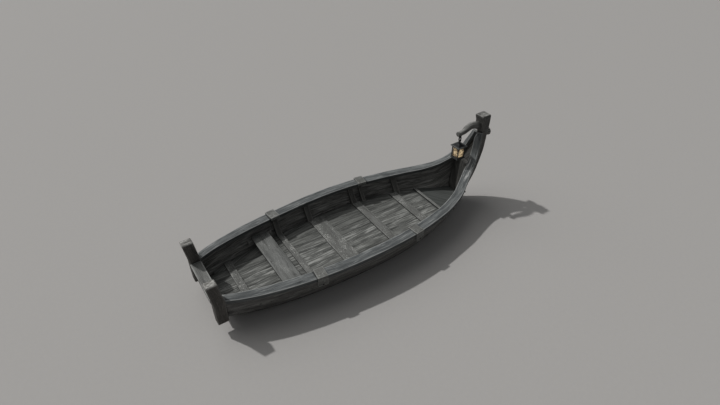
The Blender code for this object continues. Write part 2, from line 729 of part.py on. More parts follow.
def make_lantern(link_pivot):
    """Square lantern: base, corner cage, glass, candle and roof with its eye."""
    pivot = bpy.data.objects.new("lantern_pivot", None)
    eye_top = PIVOT_Z - LINK_LENGTH + LINK_RADIUS + EYE_WIRE + GAP
    pivot.location = (0, 0, eye_top - PIVOT_Z)
    pivot.parent = link_pivot
    BOAT.objects.link(pivot)

    def local(z):
        return z - eye_top

    def part(name, low, high, finish, edge):
        obj = board(name, low, high, finish, edge)
        obj.parent = pivot
        return obj

    part("lantern_base", (-BASE_HALF, -BASE_HALF, local(BASE_LOW_Z)),
         (BASE_HALF, BASE_HALF, local(CAGE_LOW_Z) - GAP), "iron", 0.004)
    cage = part("lantern_cage", (-CAGE_HALF, -CAGE_HALF, local(CAGE_LOW_Z)),
                (CAGE_HALF, CAGE_HALF, local(EAVE_Z) - GAP), "iron", 0.0)
    window_half = CAGE_HALF - CAGE_BAR
    height = EAVE_Z - CAGE_LOW_Z
    window_height = height - CAGE_BAR - CAGE_TOP_BAR
    low = local(CAGE_LOW_Z)
    for name, size in (("cage_cut_x", (0.3, 2 * window_half, window_height)),
                       ("cage_cut_y", (2 * window_half, 0.3, window_height)),
                       ("cage_cut_z", (2 * window_half, 2 * window_half, 0.5))):
        shape = bmesh.new()
        bmesh.ops.create_cube(shape, size=1.0)
        bmesh.ops.scale(shape, vec=size, verts=shape.verts)
        bmesh.ops.translate(shape, vec=(0, 0, low + CAGE_BAR + window_height / 2), verts=shape.verts)
        cutter = cutter_from(name, shape)
        cutter.parent = pivot
        combine(cage, cutter, "DIFFERENCE")
    outer = GLASS_HALF
    inner = GLASS_HALF - GLASS_THICKNESS
    glass = part("lantern_glass", (-outer, -outer, low + 0.0004),
                 (outer, outer, local(EAVE_Z) - 2 * GAP), "glass", 0.0)
    shape = bmesh.new()
    bmesh.ops.create_cube(shape, size=1.0)
    bmesh.ops.scale(shape, vec=(2 * inner, 2 * inner, 0.5), verts=shape.verts)
    bmesh.ops.translate(shape, vec=(0, 0, low + height / 2), verts=shape.verts)
    cutter = cutter_from("glass_cut", shape)
    cutter.parent = pivot
    combine(glass, cutter, "DIFFERENCE")
    shape = bmesh.new()
    place = Matrix.Translation((0, 0, low + CANDLE_HEIGHT / 2))
    bmesh.ops.create_cone(shape, cap_ends=True, segments=12, radius1=CANDLE_RADIUS, radius2=CANDLE_RADIUS,
                          depth=CANDLE_HEIGHT, matrix=place)
    candle = add_mesh_object("lantern_candle", mesh_from_bmesh("lantern_candle", shape), "wax")
    candle.parent = pivot
    eave = local(EAVE_Z)
    rings = []
    for half, z in [(half, eave + rise) for half, rise in ROOF_RINGS] + [(0.009, -2 * EYE_RADIUS)]:
        rings.append([(-half, -half, z), (half, -half, z), (half, half, z), (-half, half, z)])
    roof = loft("lantern_roof", rings, "iron")
    roof.parent = pivot
    ring = eye_ring("roof_eye_form", (0.0, -EYE_RADIUS), EYE_RADIUS, EYE_WIRE)
    ring.parent = pivot
    combine(roof, ring, "UNION")


clear_scene()
BOAT = new_collection("riverboat")
CUTTERS = new_collection("cutters")
HULL = HullLines()
make_bottom(HULL)
make_strakes(HULL)
make_rails(HULL)
make_stern()
make_stem(HULL)
make_floor(HULL)
make_side_ribs(HULL)
make_thwart(HULL)
make_saddles(HULL)
make_arm()
make_lantern(make_link())
for boat_object in list(BOAT.objects) + list(CUTTERS.objects):
    if boat_object.parent is None:
        boat_object.location.x += CENTRE_SHIFT
bpy.context.view_layer.update()
print("riverboat objects:", len(BOAT.objects))
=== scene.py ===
# %% [markdown]
# # Dressing a wooden riverboat
# The boat is already built as plain solids: planks, rails, posts, ribs, floor and a lantern that
# hangs on a link. This script loads those solids and gives each of them the shape and finish of old,
# hand-hewn timber. It goes piece by piece, from the light to the last bolt.

# %% Load the frame
import math

import bpy
import numpy as np
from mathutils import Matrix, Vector


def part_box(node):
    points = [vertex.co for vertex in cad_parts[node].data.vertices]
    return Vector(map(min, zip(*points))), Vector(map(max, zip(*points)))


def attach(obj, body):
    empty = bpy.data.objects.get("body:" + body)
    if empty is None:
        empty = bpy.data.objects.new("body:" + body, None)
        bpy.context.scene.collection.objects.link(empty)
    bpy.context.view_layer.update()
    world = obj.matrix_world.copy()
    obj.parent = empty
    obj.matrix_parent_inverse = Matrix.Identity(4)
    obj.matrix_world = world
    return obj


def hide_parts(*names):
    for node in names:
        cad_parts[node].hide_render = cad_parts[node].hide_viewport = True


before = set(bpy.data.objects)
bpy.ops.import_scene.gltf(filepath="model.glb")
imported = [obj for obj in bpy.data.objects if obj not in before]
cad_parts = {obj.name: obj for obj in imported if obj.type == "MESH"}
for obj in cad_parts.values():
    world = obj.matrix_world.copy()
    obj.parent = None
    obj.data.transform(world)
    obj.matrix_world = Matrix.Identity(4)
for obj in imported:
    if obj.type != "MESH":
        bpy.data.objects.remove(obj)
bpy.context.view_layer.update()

# %% [markdown]
# ## Camera and light
# The camera stands off the port quarter, high up, with a wide lens, as the photograph was taken.
# The place and the lens come from lines of the boat that are known to be level, upright or mirrored.
# One small sun gives the hard-edged shadow to starboard, a wide one in the same place softens it, and
# a weak sky all round fills it.

# %% Camera, sun, sky and floor
CAMERA_PLACE = (-3.2736, -4.8983, 5.3829)
CAMERA_LENS = 24.165
CAMERA_TURN = 33.6
CAMERA_DIP = 37.95
SUN_DIRECTION = Vector((0.4239, -0.7063, -1.0))
# Each lamp's share of the light that falls on the floor, and its spread in degrees.
LAMPS = (("sun", 0.56, 1.6), ("softbox", 0.25, 65.0))
FLOOR_LIGHT = 0.66

scene = bpy.context.scene
scene.view_settings.view_transform = "Standard"


def put(name, data):
    """A new object in the scene, at the origin."""
    thing = bpy.data.objects.new(name, data)
    scene.collection.objects.link(thing)
    return thing


camera_data = bpy.data.cameras.new("camera")
camera_data.lens = CAMERA_LENS
camera_data.sensor_width = 36.0
camera_data.clip_end = 200.0
scene.camera = put("camera", camera_data)
scene.camera.location = CAMERA_PLACE
scene.camera.rotation_euler = (math.radians(90 - CAMERA_DIP), 0.0, -math.radians(CAMERA_TURN))

steepness = 1.0 / SUN_DIRECTION.length
for name, share, spread in LAMPS:
    lamp = bpy.data.lights.new(name, "SUN")
    lamp.energy = FLOOR_LIGHT * share * math.pi / steepness
    lamp.angle = math.radians(spread)
    lamp.color = (1.0, 0.985, 0.965)
    put(name, lamp).rotation_euler = SUN_DIRECTION.to_track_quat("-Z", "Y").to_euler()

sky = bpy.data.worlds.new("studio")
sky.use_nodes = True
sky_light = sky.node_tree.nodes["Background"].inputs
sky_share = 1.0 - sum(share for _, share, _ in LAMPS)
sky_light["Color"].default_value = (0.97, 0.985, 1.0, 1.0)
sky_light["Strength"].default_value = FLOOR_LIGHT * sky_share
scene.world = sky
print("floor light", FLOOR_LIGHT, "of which the sky gives", round(sky_share, 2))

# %% [markdown]
# ## Sums on shader values
# A material is a sum over noise patterns. Written out as nodes it is long and hard to read, so one
# small class wraps a socket and lets plus, minus and times add the Math nodes.

# %% Shader values
def math_node(operation, swapped=False):
    """A method that joins two values by a Math node."""
    def method(self, other):
        first, second = (other, self) if swapped else (self, other)
        return self.finish.add("Math", {0: first, 1: second}, operation=operation)
    return method


class Value:
    """A number in a material. Sums on it add Math nodes."""

    def __init__(self, finish, socket):
        self.finish, self.socket = finish, socket

    __add__ = __radd__ = math_node("ADD")
    __mul__ = __rmul__ = math_node("MULTIPLY")
    __sub__, __rsub__ = math_node("SUBTRACT"), math_node("SUBTRACT", swapped=True)
    maximum = math_node("MAXIMUM")

    def between(self, low, high):
        """0 below low, 1 above high and a soft step between them."""
        return self.finish.add("MapRange", {"Value": self, "From Min": low, "From Max": high},
                               interpolation_type="SMOOTHSTEP")


def colour(value):
    """Links pass through, and three numbers become a colour."""
    return value if isinstance(value, Value) else (*value, 1.0)


print("a colour socket's numbers:", colour((0.5, 0.5, 0.5)))


class Finish:
    """One material and the colour that is painted so far. Its slot argument is not used."""

    def __init__(self, name, slot=None):
        self.material = bpy.data.materials.new(name)
        self.material.use_nodes = True
        self.tree = self.material.node_tree
        self.shader = self.tree.nodes["Principled BSDF"]
        self.place = self.split(self.add("TexCoord", {}, 3))
        self.base = None

    def add(self, kind, inputs, output=0, **settings):
        """Adds a node: first its settings, then the values or links of its sockets."""
        node = self.tree.nodes.new("ShaderNode" + kind)
        for key, value in settings.items():
            setattr(node, key, value)
        for key, value in inputs.items():
            self.feed(node.inputs[key], value)
        return Value(self, node.outputs[output])

    def feed(self, socket, value):
        """Links a socket to a value, or sets its number."""
        if isinstance(value, Value):
            self.tree.links.new(value.socket, socket)
        else:
            socket.default_value = value

    def split(self, vector):
        """The three numbers of a vector."""
        node = self.tree.nodes.new("ShaderNodeSeparateXYZ")
        self.feed(node.inputs[0], vector)
        return [Value(self, output) for output in node.outputs]

    def mix(self, share, first, second):
        """Colour that goes from first to second as share goes from 0 to 1."""
        return self.add("Mix", {0: share, 6: colour(first), 7: colour(second)}, 2, data_type="RGBA")

    def paint(self, share, second):
        """Lays a colour over the base, as much of it as share says."""
        self.base = self.mix(share, self.base, second)

    def noise(self, x, y, z, detail=3.0, rough=0.55):
        """Cloudy pattern from 0 to 1 at the point x, y, z."""
        point = self.add("CombineXYZ", {"X": x, "Y": y, "Z": z})
        return self.add("TexNoise", {"Vector": point, "Scale": 1.0, "Detail": detail, "Roughness": rough})

    def cloud(self, across, upright, detail=3.0):
        """Cloudy pattern with so many cells a metre across the boat and upright."""
        x, y, z = self.place
        return self.noise(x * across, y * across, z * upright, detail)

    def attribute(self, name):
        """A measure that each point of the shape carries."""
        return self.add("Attribute", {}, 2, attribute_name=name)

    def glow(self, light, strength):
        """Lets the surface shine by itself."""
        self.feed(self.shader.inputs["Emission Color"], colour(light))
        self.shader.inputs["Emission Strength"].default_value = strength

    def finished(self, rough, height, depth):
        """Joins the base colour, the roughness and the relief, depth metres deep, to the shader."""
        self.feed(self.shader.inputs["Base Color"], self.base)
        self.feed(self.shader.inputs["Roughness"], rough)
        bump = self.add("Bump", {"Height": height, "Distance": depth})
        self.feed(self.shader.inputs["Normal"], bump)
        return self.material


print("a finish can", *(word for word in vars(Finish) if not word.startswith("_")))

# %% [markdown]
# ## Old timber
# Wood that has stood in water and sun goes grey. Soft wood wears away between the hard fibres, so it
# is darker in the furrows, pale on the ridges, and palest where hands and ropes rub the edges. Each
# plank carries a map in metres along and across its grain, so the fibres run with every bend, and two
# measures made with its shape: how near a point is to an edge, and how near to a face's middle.

# %% Timber finish
# The hull's lines were drawn first, and the whole boat was then moved by this much.
SHIFT = np.array([-0.054, 0.0, 0.0])
# Columns: name, aft x, forward x, both before the shift.
SADDLES = (("saddle_aft", -1.2, -1.05), ("saddle_forward", 0.48, 0.63))
WOOD_RELIEF = 0.0022
# Stretches in x where rope wear on the rails begins and ends, and where shade is painted at the
# arm's root. The lane that feet keep clean is this far to starboard.
ROPED_FROM, ROPED_TO, ARM_ROOT_SHADE = (1.8, 1.92), (2.1, 2.16), (2.27, 2.35)
LANE_ASIDE = 0.1
ROPE_RUBBED = (0.62, 0.63, 0.62)


def timber_finish(name, slot, deep, body, pale, streaks=0.5, furrows=0.5, specks=0.0, edges=0.6, seam_shade_and_dirt=0.0,
                  crown=0.0, crest=0.0, shade=0.0, lane=0.0, cracks=0.75, coarse=1.0, reach=1.0,
                  speck_scale=75.0, shade_beside_saddles=False, roped=0.0, under=0.0, shade_at_arm_root=False):
    """Old wood in three colours. Noise drawn out along the grain picks deep in the furrows and pale
    on the ridges, and pale then goes on where it is worn. Black, 0.3 of deep, goes in cracks, with the
    piece's tone, and as painted shade: in the seams along with dirt, on sides, on faces that look down,
    beside the saddles and at the arm's root. The words after the colours say how much of each there is.
    Coarse and reach scale the cells' counts. The colours come in thousandths."""
    deep, body, pale = ([part / 1000 for part in wood] for wood in (deep, body, pale))
    f = Finish(name, slot)
    x, y, _ = f.place
    along, across, _ = f.split(f.add("UVMap", {}, uv_map="grain"))
    edge, middle, top, tone = (f.attribute(word) for word in ("edge", "middle", "top", "tone"))
    black = [channel * 0.3 for channel in deep]

    # Fibres, from broad bands to hairs, all bent by the same wander. Then patches, grit and chips.
    wander = f.noise(along * 1.1, across * 6.0, 4.0, detail=2.0)
    broad = f.noise(along * 1.4, across * 15.0 + wander * 2.0, 1.0)
    strands = f.noise(along * (4.6 * reach), across * (44.0 * coarse) + wander * 4.0, 7.0, rough=0.6)
    fibres = f.noise(along * (7.0 * reach), across * (125.0 * coarse) + wander * 9.0, 11.0, rough=0.6)
    hairs = f.noise(along * 16.0, across * 340.0 + wander * 20.0, 13.0, detail=2.0)
    patches = f.noise(along * 5.0, across * 6.0, 15.0, detail=4.0)
    grit = f.noise(along * speck_scale, across * (speck_scale * 1.15), 19.0, rough=0.7)
    mottle = patches * 0.5 + strands * 0.4 + f.noise(along * 32.0, across * 32.0, 31.0) * 0.8
    ridges = strands * 0.6 + fibres * 0.4
    upper = top.between(0.75, 0.97)

    # The grain itself, with the lane that feet keep clean down the middle of the floor.
    f.base = f.mix((broad * 0.6 + fibres * 0.4).between(0.36, 0.62), deep, body)
    f.paint((1.0 - (strands * 0.55 + fibres * 0.45).between(0.36, 0.5)) * furrows, deep)
    if lane:
        trodden = 1.0 - ((y + LANE_ASIDE) * (y + LANE_ASIDE) * 9.0).between(0.0, 1.0)
        f.paint(trodden * (ridges + patches * 0.35).between(0.66, 0.8) * lane, pale)
    f.paint(ridges.between(0.5, 0.68) * streaks, pale)
    f.paint(hairs.between(0.52, 0.78) * 0.25, pale)
    f.paint((middle * 0.5 + strands * 0.9 + broad * 0.5 - 0.2).between(0.72, 1.05) * crown, pale)
    f.paint((grit * 0.7 + patches * 0.45 - 0.05).between(0.56, 0.68) * specks, pale)

    # Painted shade with dirt in the seams, painted shade on the sides, chipped tops, rubbed edges, cracks.
    f.paint((edge + patches * 0.4 - 0.2).between(0.05, 0.75) * seam_shade_and_dirt, black)
    f.paint((1.0 - top.between(0.25, 0.85)) * shade, black)
    f.paint(upper * mottle.between(0.72, 1.0) * crest, pale)
    worn = (edge + patches * 0.7 + strands * 0.5 - 0.75).between(0.2, 0.75) * (top * 0.85 + 0.15)
    f.paint(worn * edges, pale)
    f.paint((1.0 - mottle.between(0.8, 0.99)) * upper * (crest * 0.8), body)
    line = f.noise(along * 1.5, across * 26.0 + wander * 3.0, 23.0, detail=5.0, rough=0.6) - 0.5
    broken = f.noise(along * 2.3, across * 8.0, 27.0).between(0.5, 0.6)
    crack = (1.0 - (line * line * 9000.0).between(0.0, 1.0)) * broken
    f.paint(crack * cracks, black)

    # Places of their own: rope wear at the bow, and painted shade beside the saddles and at the arm's root.
    if roped:
        starboard = 1.0 - (y * 40.0).between(-1.0, 0.0)
        rubbed = x.between(*ROPED_FROM) * (1.0 - x.between(*ROPED_TO)) * starboard
        f.paint((strands * 0.8 + fibres * 0.2).between(0.49, 0.57) * rubbed * roped, ROPE_RUBBED)
    if shade_beside_saddles:
        for _, aft, fore in SADDLES:
            aft, fore = aft + SHIFT[0], fore + SHIFT[0]
            beside = x.between(aft - 0.016, aft - 0.004) * (1.0 - x.between(fore + 0.003, fore + 0.012))
            f.paint(beside * 0.85, black)
    if shade_at_arm_root:
        f.paint(x.between(*ARM_ROOT_SHADE) * 0.85, black)
    # Painted shade on the faces that look down, as much as under says.
    f.paint((1.0 - top.between(0.02, 0.2)) * under, black)
    f.paint(tone, black)
    height = strands * 0.45 + fibres * 0.3 + hairs * 0.1 + broad * 0.6 - crack * 0.8
    return f.finished(0.66 + strands * 0.22 - worn * 0.1, height, WOOD_RELIEF)


print("the wood's relief is", WOOD_RELIEF * 1000, "mm deep")

# %% Woods
# Columns: slot, the deep, body and pale colours in thousandths, and how the wood is worn and how much shade
# is painted on it.
WOODS = {
    "hull": ("hull", (80, 79, 75), (275, 272, 260), (600, 600, 578), dict(
        streaks=0.65, furrows=0.8, edges=0.4, coarse=0.7, reach=0.6, under=0.52)),
    "rail": ("rail", (70, 78, 81), (158, 172, 175), (420, 434, 430), dict(
        streaks=0.6, furrows=0.8, edges=0.8, crown=0.12, shade=0.6, coarse=0.65, reach=0.7, shade_beside_saddles=True,
        roped=0.8)),
    "floor": ("floor", (66, 70, 66), (160, 166, 156), (500, 510, 490), dict(
        streaks=0.5, furrows=0.75, edges=0.0, seam_shade_and_dirt=0.2, crown=0.1, lane=0.75, cracks=0.4, reach=0.5)),
    "board": ("floor", (110, 113, 107), (190, 195, 187), (540, 550, 525), dict(
        streaks=0.1, furrows=0.45, specks=0.9, edges=0.12, shade=0.95, speck_scale=46.0)),
    "thwart": ("floor", (110, 115, 110), (205, 212, 206), (390, 400, 385), dict(
        streaks=0.14, furrows=0.55, specks=0.7, edges=0.22, shade=0.95, speck_scale=60.0)),
    "cap": ("rail", (125, 128, 124), (220, 225, 216), (430, 440, 425), dict(
        streaks=0.2, furrows=0.45, specks=0.3, edges=0.85, shade=0.5, speck_scale=45.0)),
    "sole": ("floor", (55, 61, 58), (83, 90, 87), (140, 148, 140), dict(
        streaks=0.2, edges=0.1)),
    "lining": ("hull", (34, 34, 31), (66, 66, 61), (190, 188, 176), dict(
        streaks=0.6, furrows=0.8, edges=0.2, coarse=0.6, reach=0.5)),
    "rib": ("hull", (75, 74, 70), (125, 124, 118), (420, 415, 390), dict(
        streaks=0.3, edges=0.6)),
    "post": ("post", (34, 31, 28), (75, 69, 62), (520, 520, 495), dict(
        streaks=0.08, furrows=0.6, edges=0.85, specks=0.1, crest=0.95)),
    "stem": ("post", (36, 35, 33), (75, 73, 69), (520, 520, 500), dict(
        streaks=0.12, furrows=0.6, edges=0.75, specks=0.12, crest=0.95)),
    "arm": ("post", (80, 80, 75), (320, 324, 312), (620, 620, 600), dict(
        streaks=0.3, furrows=0.8, edges=0.1, crest=0.3, shade=0.6, shade_at_arm_root=True)),
    "saddle": ("post", (85, 87, 82), (170, 174, 165), (440, 450, 430), dict(
        streaks=0.1, specks=0.75, edges=0.6, crest=0.15, speck_scale=40.0)),
}
WOOD = {name: timber_finish(f"{name} wood", f"{slot}_wood", *colours, **wear)
        for name, (slot, *colours, wear) in WOODS.items()}
print("woods:", *WOOD)

# %% [markdown]
# ## Iron, glass and wax
# The lantern is dull black iron with rust in its pores. Its panes are old yellow glass with a painted
# glow for the candle's light inside, brightest in the middle and darker along the bars.

# %% Lantern finishes
# The roof's middle in x, the half widths between which its rim goes pale, and its cap's foot in z.
ROOF_RIM, ROOF_CAP = (1.976, 0.074, 0.084), (1.156, 1.16)


def iron_finish(name, rim=None):
    """Black iron: rust where a coarse and a fine noise are both high, and pale worn edges and rim."""
    f = Finish(name, "iron")
    x, y, z = f.place
    patches, grains = f.cloud(30.0, 30.0, detail=4.0), f.cloud(220.0, 220.0)
    rust = (patches * 0.7 + grains * 0.4).between(0.6, 0.78)
    f.base = f.mix(patches.between(0.35, 0.65), (0.02, 0.022, 0.023), (0.042, 0.046, 0.047))
    f.paint(rust * 0.5, (0.09, 0.052, 0.034))
    worn = (f.attribute("edge") + patches * 0.6 - 0.5).between(0.2, 0.9)
    f.paint(worn * 0.35, (0.12, 0.123, 0.12))
    if rim:
        centre, inner, outer = rim
        off = x - centre
        away = (off * off).maximum(y * y)
        f.paint(0.55, (0.012, 0.014, 0.018))
        flat = away.between(inner ** 2, outer ** 2) * (1.0 - z.between(*ROOF_CAP))
        f.paint(flat * (0.2 + patches * 0.9), (0.15, 0.155, 0.15))
    f.shader.inputs["Specular IOR Level"].default_value = 0.3
    return f.finished(0.62 + rust * 0.25 + grains * 0.1, patches * 0.5 + grains * 0.5, 0.001)


def dull_iron_finish(name, body):
    """Iron without worn edges or shine, from 0.6 of its colour to all of it with the noise."""
    f = Finish(name, "iron")
    grains = f.cloud(160.0, 160.0)
    f.base = f.mix(grains.between(0.4, 0.7), [channel * 0.6 for channel in body], body)
    f.shader.inputs["Specular IOR Level"].default_value = 0.08
    return f.finished(0.85 + grains * 0.1, grains, 0.0006)


def pane_finish():
    """Glass with a painted glow that stands for the candle's light through it: more towards its middle
    and its foot, and less where smoke has settled.
    """
    f = Finish("lantern pane", "glass")
    smoke, soot = f.cloud(26.0, 30.0), f.cloud(70.0, 60.0)
    middle, height = f.attribute("middle"), f.attribute("height")
    lit = (middle * 0.55 + smoke * 2.2 + soot * 1.0 - height * 0.25 - 1.3).between(0.1, 1.1)
    f.base = f.mix(lit, (0.045, 0.036, 0.026), (0.38, 0.31, 0.21))
    # The glow is painted light: an emission, strongest where lit is high.
    f.glow(f.mix(lit, (0.06, 0.034, 0.016), (1.0, 0.76, 0.44)), 0.5)
    return f.finished(0.25 + smoke * 0.2, f.cloud(60.0, 24.0, detail=2.0), 0.0012)


def wax_finish():
    """Warm wax, streaked by noise that is drawn out upright, with a painted glow for the flame's light."""
    f = Finish("candle wax")
    drips = f.cloud(140.0, 25.0, detail=2.0)
    f.base = f.mix(drips, (0.62, 0.5, 0.32), (0.85, 0.76, 0.58))
    # Painted glow of the flame's light in the wax.
    f.glow((1.0, 0.62, 0.28), 0.25)
    return f.finished(0.45, drips, 0.0015)


def flame_finish():
    """Light that goes from orange to yellow with height."""
    f = Finish("flame", "wax")
    f.glow(f.mix(f.place[2].between(1.04, 1.09), (1.0, 0.42, 0.1), (1.0, 0.8, 0.45)), 6.0)
    f.shader.inputs["Base Color"].default_value = (0.9, 0.6, 0.3, 1.0)
    return f.material


IRON = iron_finish("forged iron")
ROOF_IRON = iron_finish("roof iron", ROOF_RIM)
WIRE_IRON = dull_iron_finish("wire iron", (0.022, 0.023, 0.024))
WASHER_IRON = dull_iron_finish("washer iron", (0.2, 0.2, 0.19))
PANE, WAX, FLAME = pane_finish(), wax_finish(), flame_finish()
print("lantern finishes:", IRON.name, ROOF_IRON.name, WIRE_IRON.name, PANE.name, WAX.name, FLAME.name)

# %% [markdown]
# ## The studio floor
# The boat stands on its flat bottom on a plain pale floor, large enough to fill the picture.

# %% Floor
def floor_finish():
    """Matt pale grey, a little cloudy."""
    f = Finish("studio floor")
    f.base = f.mix(f.cloud(18.0, 0.0, detail=5.0), (0.5, 0.49, 0.48), (0.53, 0.52, 0.508))
    return f.finished(0.9, f.cloud(60.0, 0.0), 0.001)


SQUARE = ((-1, -1), (1, -1), (1, 1), (-1, 1))
FLOOR_REACH = 40.0
floor_mesh = bpy.data.meshes.new("studio_floor")
floor_corners = [(x * FLOOR_REACH, y * FLOOR_REACH, 0) for x, y in SQUARE]
floor_mesh.from_pydata(floor_corners, [], [(0, 1, 2, 3)])
floor_mesh.materials.append(floor_finish())
studio_floor = put("studio_floor", floor_mesh)
print("floor reaches", FLOOR_REACH, "m")

# %% [markdown]
# ## Hewing a timber
# Every timber is drawn by its corners: a row of sections along the grain, each with the same number
# of corners. The sections are resampled, each corner is rounded, both ends are eased, and the faces
# get the slight waves that an adze leaves. All of it is done on whole arrays.

# %% Vectors and sections
def unit(vectors):
    """Each vector divided by its length."""
    return vectors / np.maximum(np.linalg.norm(vectors, axis=-1, keepdims=True), 1e-9)


def full_turn(count):
    """Angles evenly once round."""
    return np.linspace(0, 2 * np.pi, count, endpoint=False)


def sections(*corners):
    """Rows of sections along a timber, from the x, y and z of each corner as numbers or arrays."""
    return np.stack([np.stack(np.broadcast_arrays(*corner), axis=-1) for corner in corners], axis=-2)


print("a square section:", sections((0, 1, 1), (0, 1, -1), (0, -1, -1), (0, -1, 1)).shape)

# %% Noise
NOISE_KEY, NOISE_SINE, SEED_STEP = np.array([127.1, 311.7, 74.7]), 43758.5453, 17.31


def soft_noise(points, scale, seed=0.0):
    """Smooth random numbers from -1 to 1.

    Space is cut into cells. Each cell corner has a random number, the fraction of a large sine, and
    a point blends its cell's eight corners with the weights 3t^2 - 2t^3.
    """
    cells = points * scale + seed * SEED_STEP
    base = np.floor(cells)
    t = cells - base
    t = t * t * (3 - 2 * t)
    total = np.zeros(points.shape[:-1])
    for corner in np.ndindex(2, 2, 2):
        value = np.modf(np.abs(np.sin((base + corner) @ NOISE_KEY) * NOISE_SINE))[0]
        total += value * np.prod(np.where(corner, t, 1 - t), axis=-1)
    return total * 2 - 1


print("noise at the origin:", round(float(soft_noise(np.zeros(3), 1.0)), 3))

# %% Sections in even steps
def travelled(rings):
    """Metres along a timber to each section, from middle to middle."""
    steps = np.linalg.norm(np.diff(rings.mean(axis=1), axis=0), axis=1)
    return np.concatenate(([0], np.cumsum(steps)))


def resampled(corners, spacing):
    """Sections a given distance apart, by straight lines between the given ones."""
    reach = travelled(corners)
    count = max(int(reach[-1] / spacing), len(corners), 6)
    wanted = np.union1d(np.linspace(0, reach[-1], count), reach)
    keep = np.concatenate(([True], np.diff(wanted) > spacing * 0.2))
    keep[-1] = True
    wanted = wanted[keep]
    flat = corners.reshape(len(corners), -1)
    rows = np.stack([np.interp(wanted, reach, column) for column in flat.T], axis=1)
    return rows.reshape(len(wanted), corners.shape[1], 3)


bar = sections(*((np.arange(2.0), y, z) for y, z in SQUARE))
print("a bar of 1 m is cut at", travelled(resampled(bar, 0.15)).round(2))

# %% Rounding
ARC_STEPS = np.linspace(0, 1, 5)
SIDE_STEPS = np.array([0.12, 0.3, 0.5, 0.7, 0.88])
EDGE_WEAR = 0.7
WEAR_REACH = 0.012


def rounded(corners, radius):
    """Rounds the corners of all sections, and measures nearness to an edge and to a face's middle.

    Each corner becomes (1-t)^2 a + 2t(1-t) corner + t^2 b, with a and b a radius away on the two
    sides, and each side gets points between two such curves.
    """
    def pulled(neighbour):
        step = neighbour - corners
        length = np.linalg.norm(step, axis=2, keepdims=True)
        return corners + unit(step) * np.minimum(radius, 0.45 * length)

    start = pulled(np.roll(corners, 1, axis=1))
    stop = pulled(np.roll(corners, -1, axis=1))
    t, s = ARC_STEPS[:, None], SIDE_STEPS[:, None]
    arcs = ((1 - t) ** 2 * start[:, :, None] + 2 * t * (1 - t) * corners[:, :, None]
            + t ** 2 * stop[:, :, None])
    following = np.roll(start, -1, axis=1)
    sides = stop[:, :, None] * (1 - s) + following[:, :, None] * s
    length = np.linalg.norm(following - stop, axis=2)[:, :, None]
    from_corner = np.minimum(SIDE_STEPS, 1 - SIDE_STEPS) * length
    on_arc = EDGE_WEAR + (1 - EDGE_WEAR) * np.sin(np.pi * ARC_STEPS)
    edge = np.concatenate((np.broadcast_to(on_arc, arcs.shape[:3]),
                           EDGE_WEAR * np.exp(-from_corner / WEAR_REACH)), axis=2)
    on_flat = np.broadcast_to(1 - np.abs(2 * SIDE_STEPS - 1), sides.shape[:3])
    middle = np.concatenate((np.zeros(arcs.shape[:3]), on_flat), axis=2)
    points, count = np.concatenate((arcs, sides), axis=2), len(corners)
    return points.reshape(count, -1, 3), edge.reshape(count, -1), middle.reshape(count, -1)


print("a rounded corner and a side have", len(ARC_STEPS), "and", len(SIDE_STEPS), "points")

# %% Skins
def ring_faces(count, around, closed=False):
    """Quads between neighbouring rings of points. In a closed row the last ring meets the first."""
    i, j = np.meshgrid(np.arange(count - (not closed)), np.arange(around), indexing="ij")
    after, beside = (i + 1) % count * around, (j + 1) % around
    return np.stack((i * around + j, i * around + beside, after + beside, after + j), axis=-1).reshape(-1, 4)


def skin(name, points, faces):
    """A smooth mesh from an array of points and a list of faces."""
    mesh = bpy.data.meshes.new(name)
    mesh.from_pydata(points.reshape(-1, 3).tolist(), [], faces)
    mesh.polygons.foreach_set("use_smooth", np.ones(len(mesh.polygons), dtype=bool))
    return mesh


def add_measures(mesh, **measures):
    """Point attributes that the finishes read. Top is how far a point faces up, from 0 to 1."""
    mesh.update()
    facing = np.empty(len(mesh.vertices) * 3, dtype=np.float32)
    mesh.vertex_normals.foreach_get("vector", facing)
    measures["top"] = np.clip(facing[2::3], 0, 1)
    for key, values in measures.items():
        spread = np.zeros(len(mesh.vertices), dtype=np.float32) + np.ravel(values).astype(np.float32)
        mesh.attributes.new(key, "FLOAT", "POINT").data.foreach_set("value", spread)


print("faces between three rings of eight points:", len(ring_faces(3, 8)))

# %% Tubes and pieces
CAP_STRETCH = np.array([0.4, 1.0])


def tube_mesh(name, rings, edge, middle, offset, tone=0.0):
    """Closed skin over rings of points. The grain map is metres along and round it, and a cap's map
    lies on the two longest directions of its ring."""
    count, around = rings.shape[:2]
    caps = [list(range(around))[::-1], list(range((count - 1) * around, count * around))]
    mesh = skin(name, rings, ring_faces(count, around).tolist() + caps)
    mesh.polygons[-1].use_smooth = mesh.polygons[-2].use_smooth = False
    girth = np.linalg.norm(np.roll(rings, -1, axis=1) - rings, axis=2)
    along = travelled(rings)[:, None]
    across = np.concatenate((np.zeros((count, 1)), np.cumsum(girth, axis=1)), axis=1)
    grid = np.stack(np.broadcast_arrays(along, across), axis=-1)
    uv = [np.stack((grid[:-1, :-1], grid[:-1, 1:], grid[1:, 1:], grid[1:, :-1]), axis=2).reshape(-1, 2)]
    for ring, order in ((rings[0], -1), (rings[-1], 1)):
        centred = ring - ring.mean(axis=0)
        axes = np.linalg.svd(centred, full_matrices=False)[2][:2]
        uv.append((centred @ axes.T * CAP_STRETCH)[::order])
    uv = np.concatenate(uv) + np.array(offset)
    mesh.uv_layers.new(name="grain").data.foreach_set("uv", uv.astype(np.float32).ravel())
    add_measures(mesh, edge=edge, middle=middle, tone=tone)
    return mesh


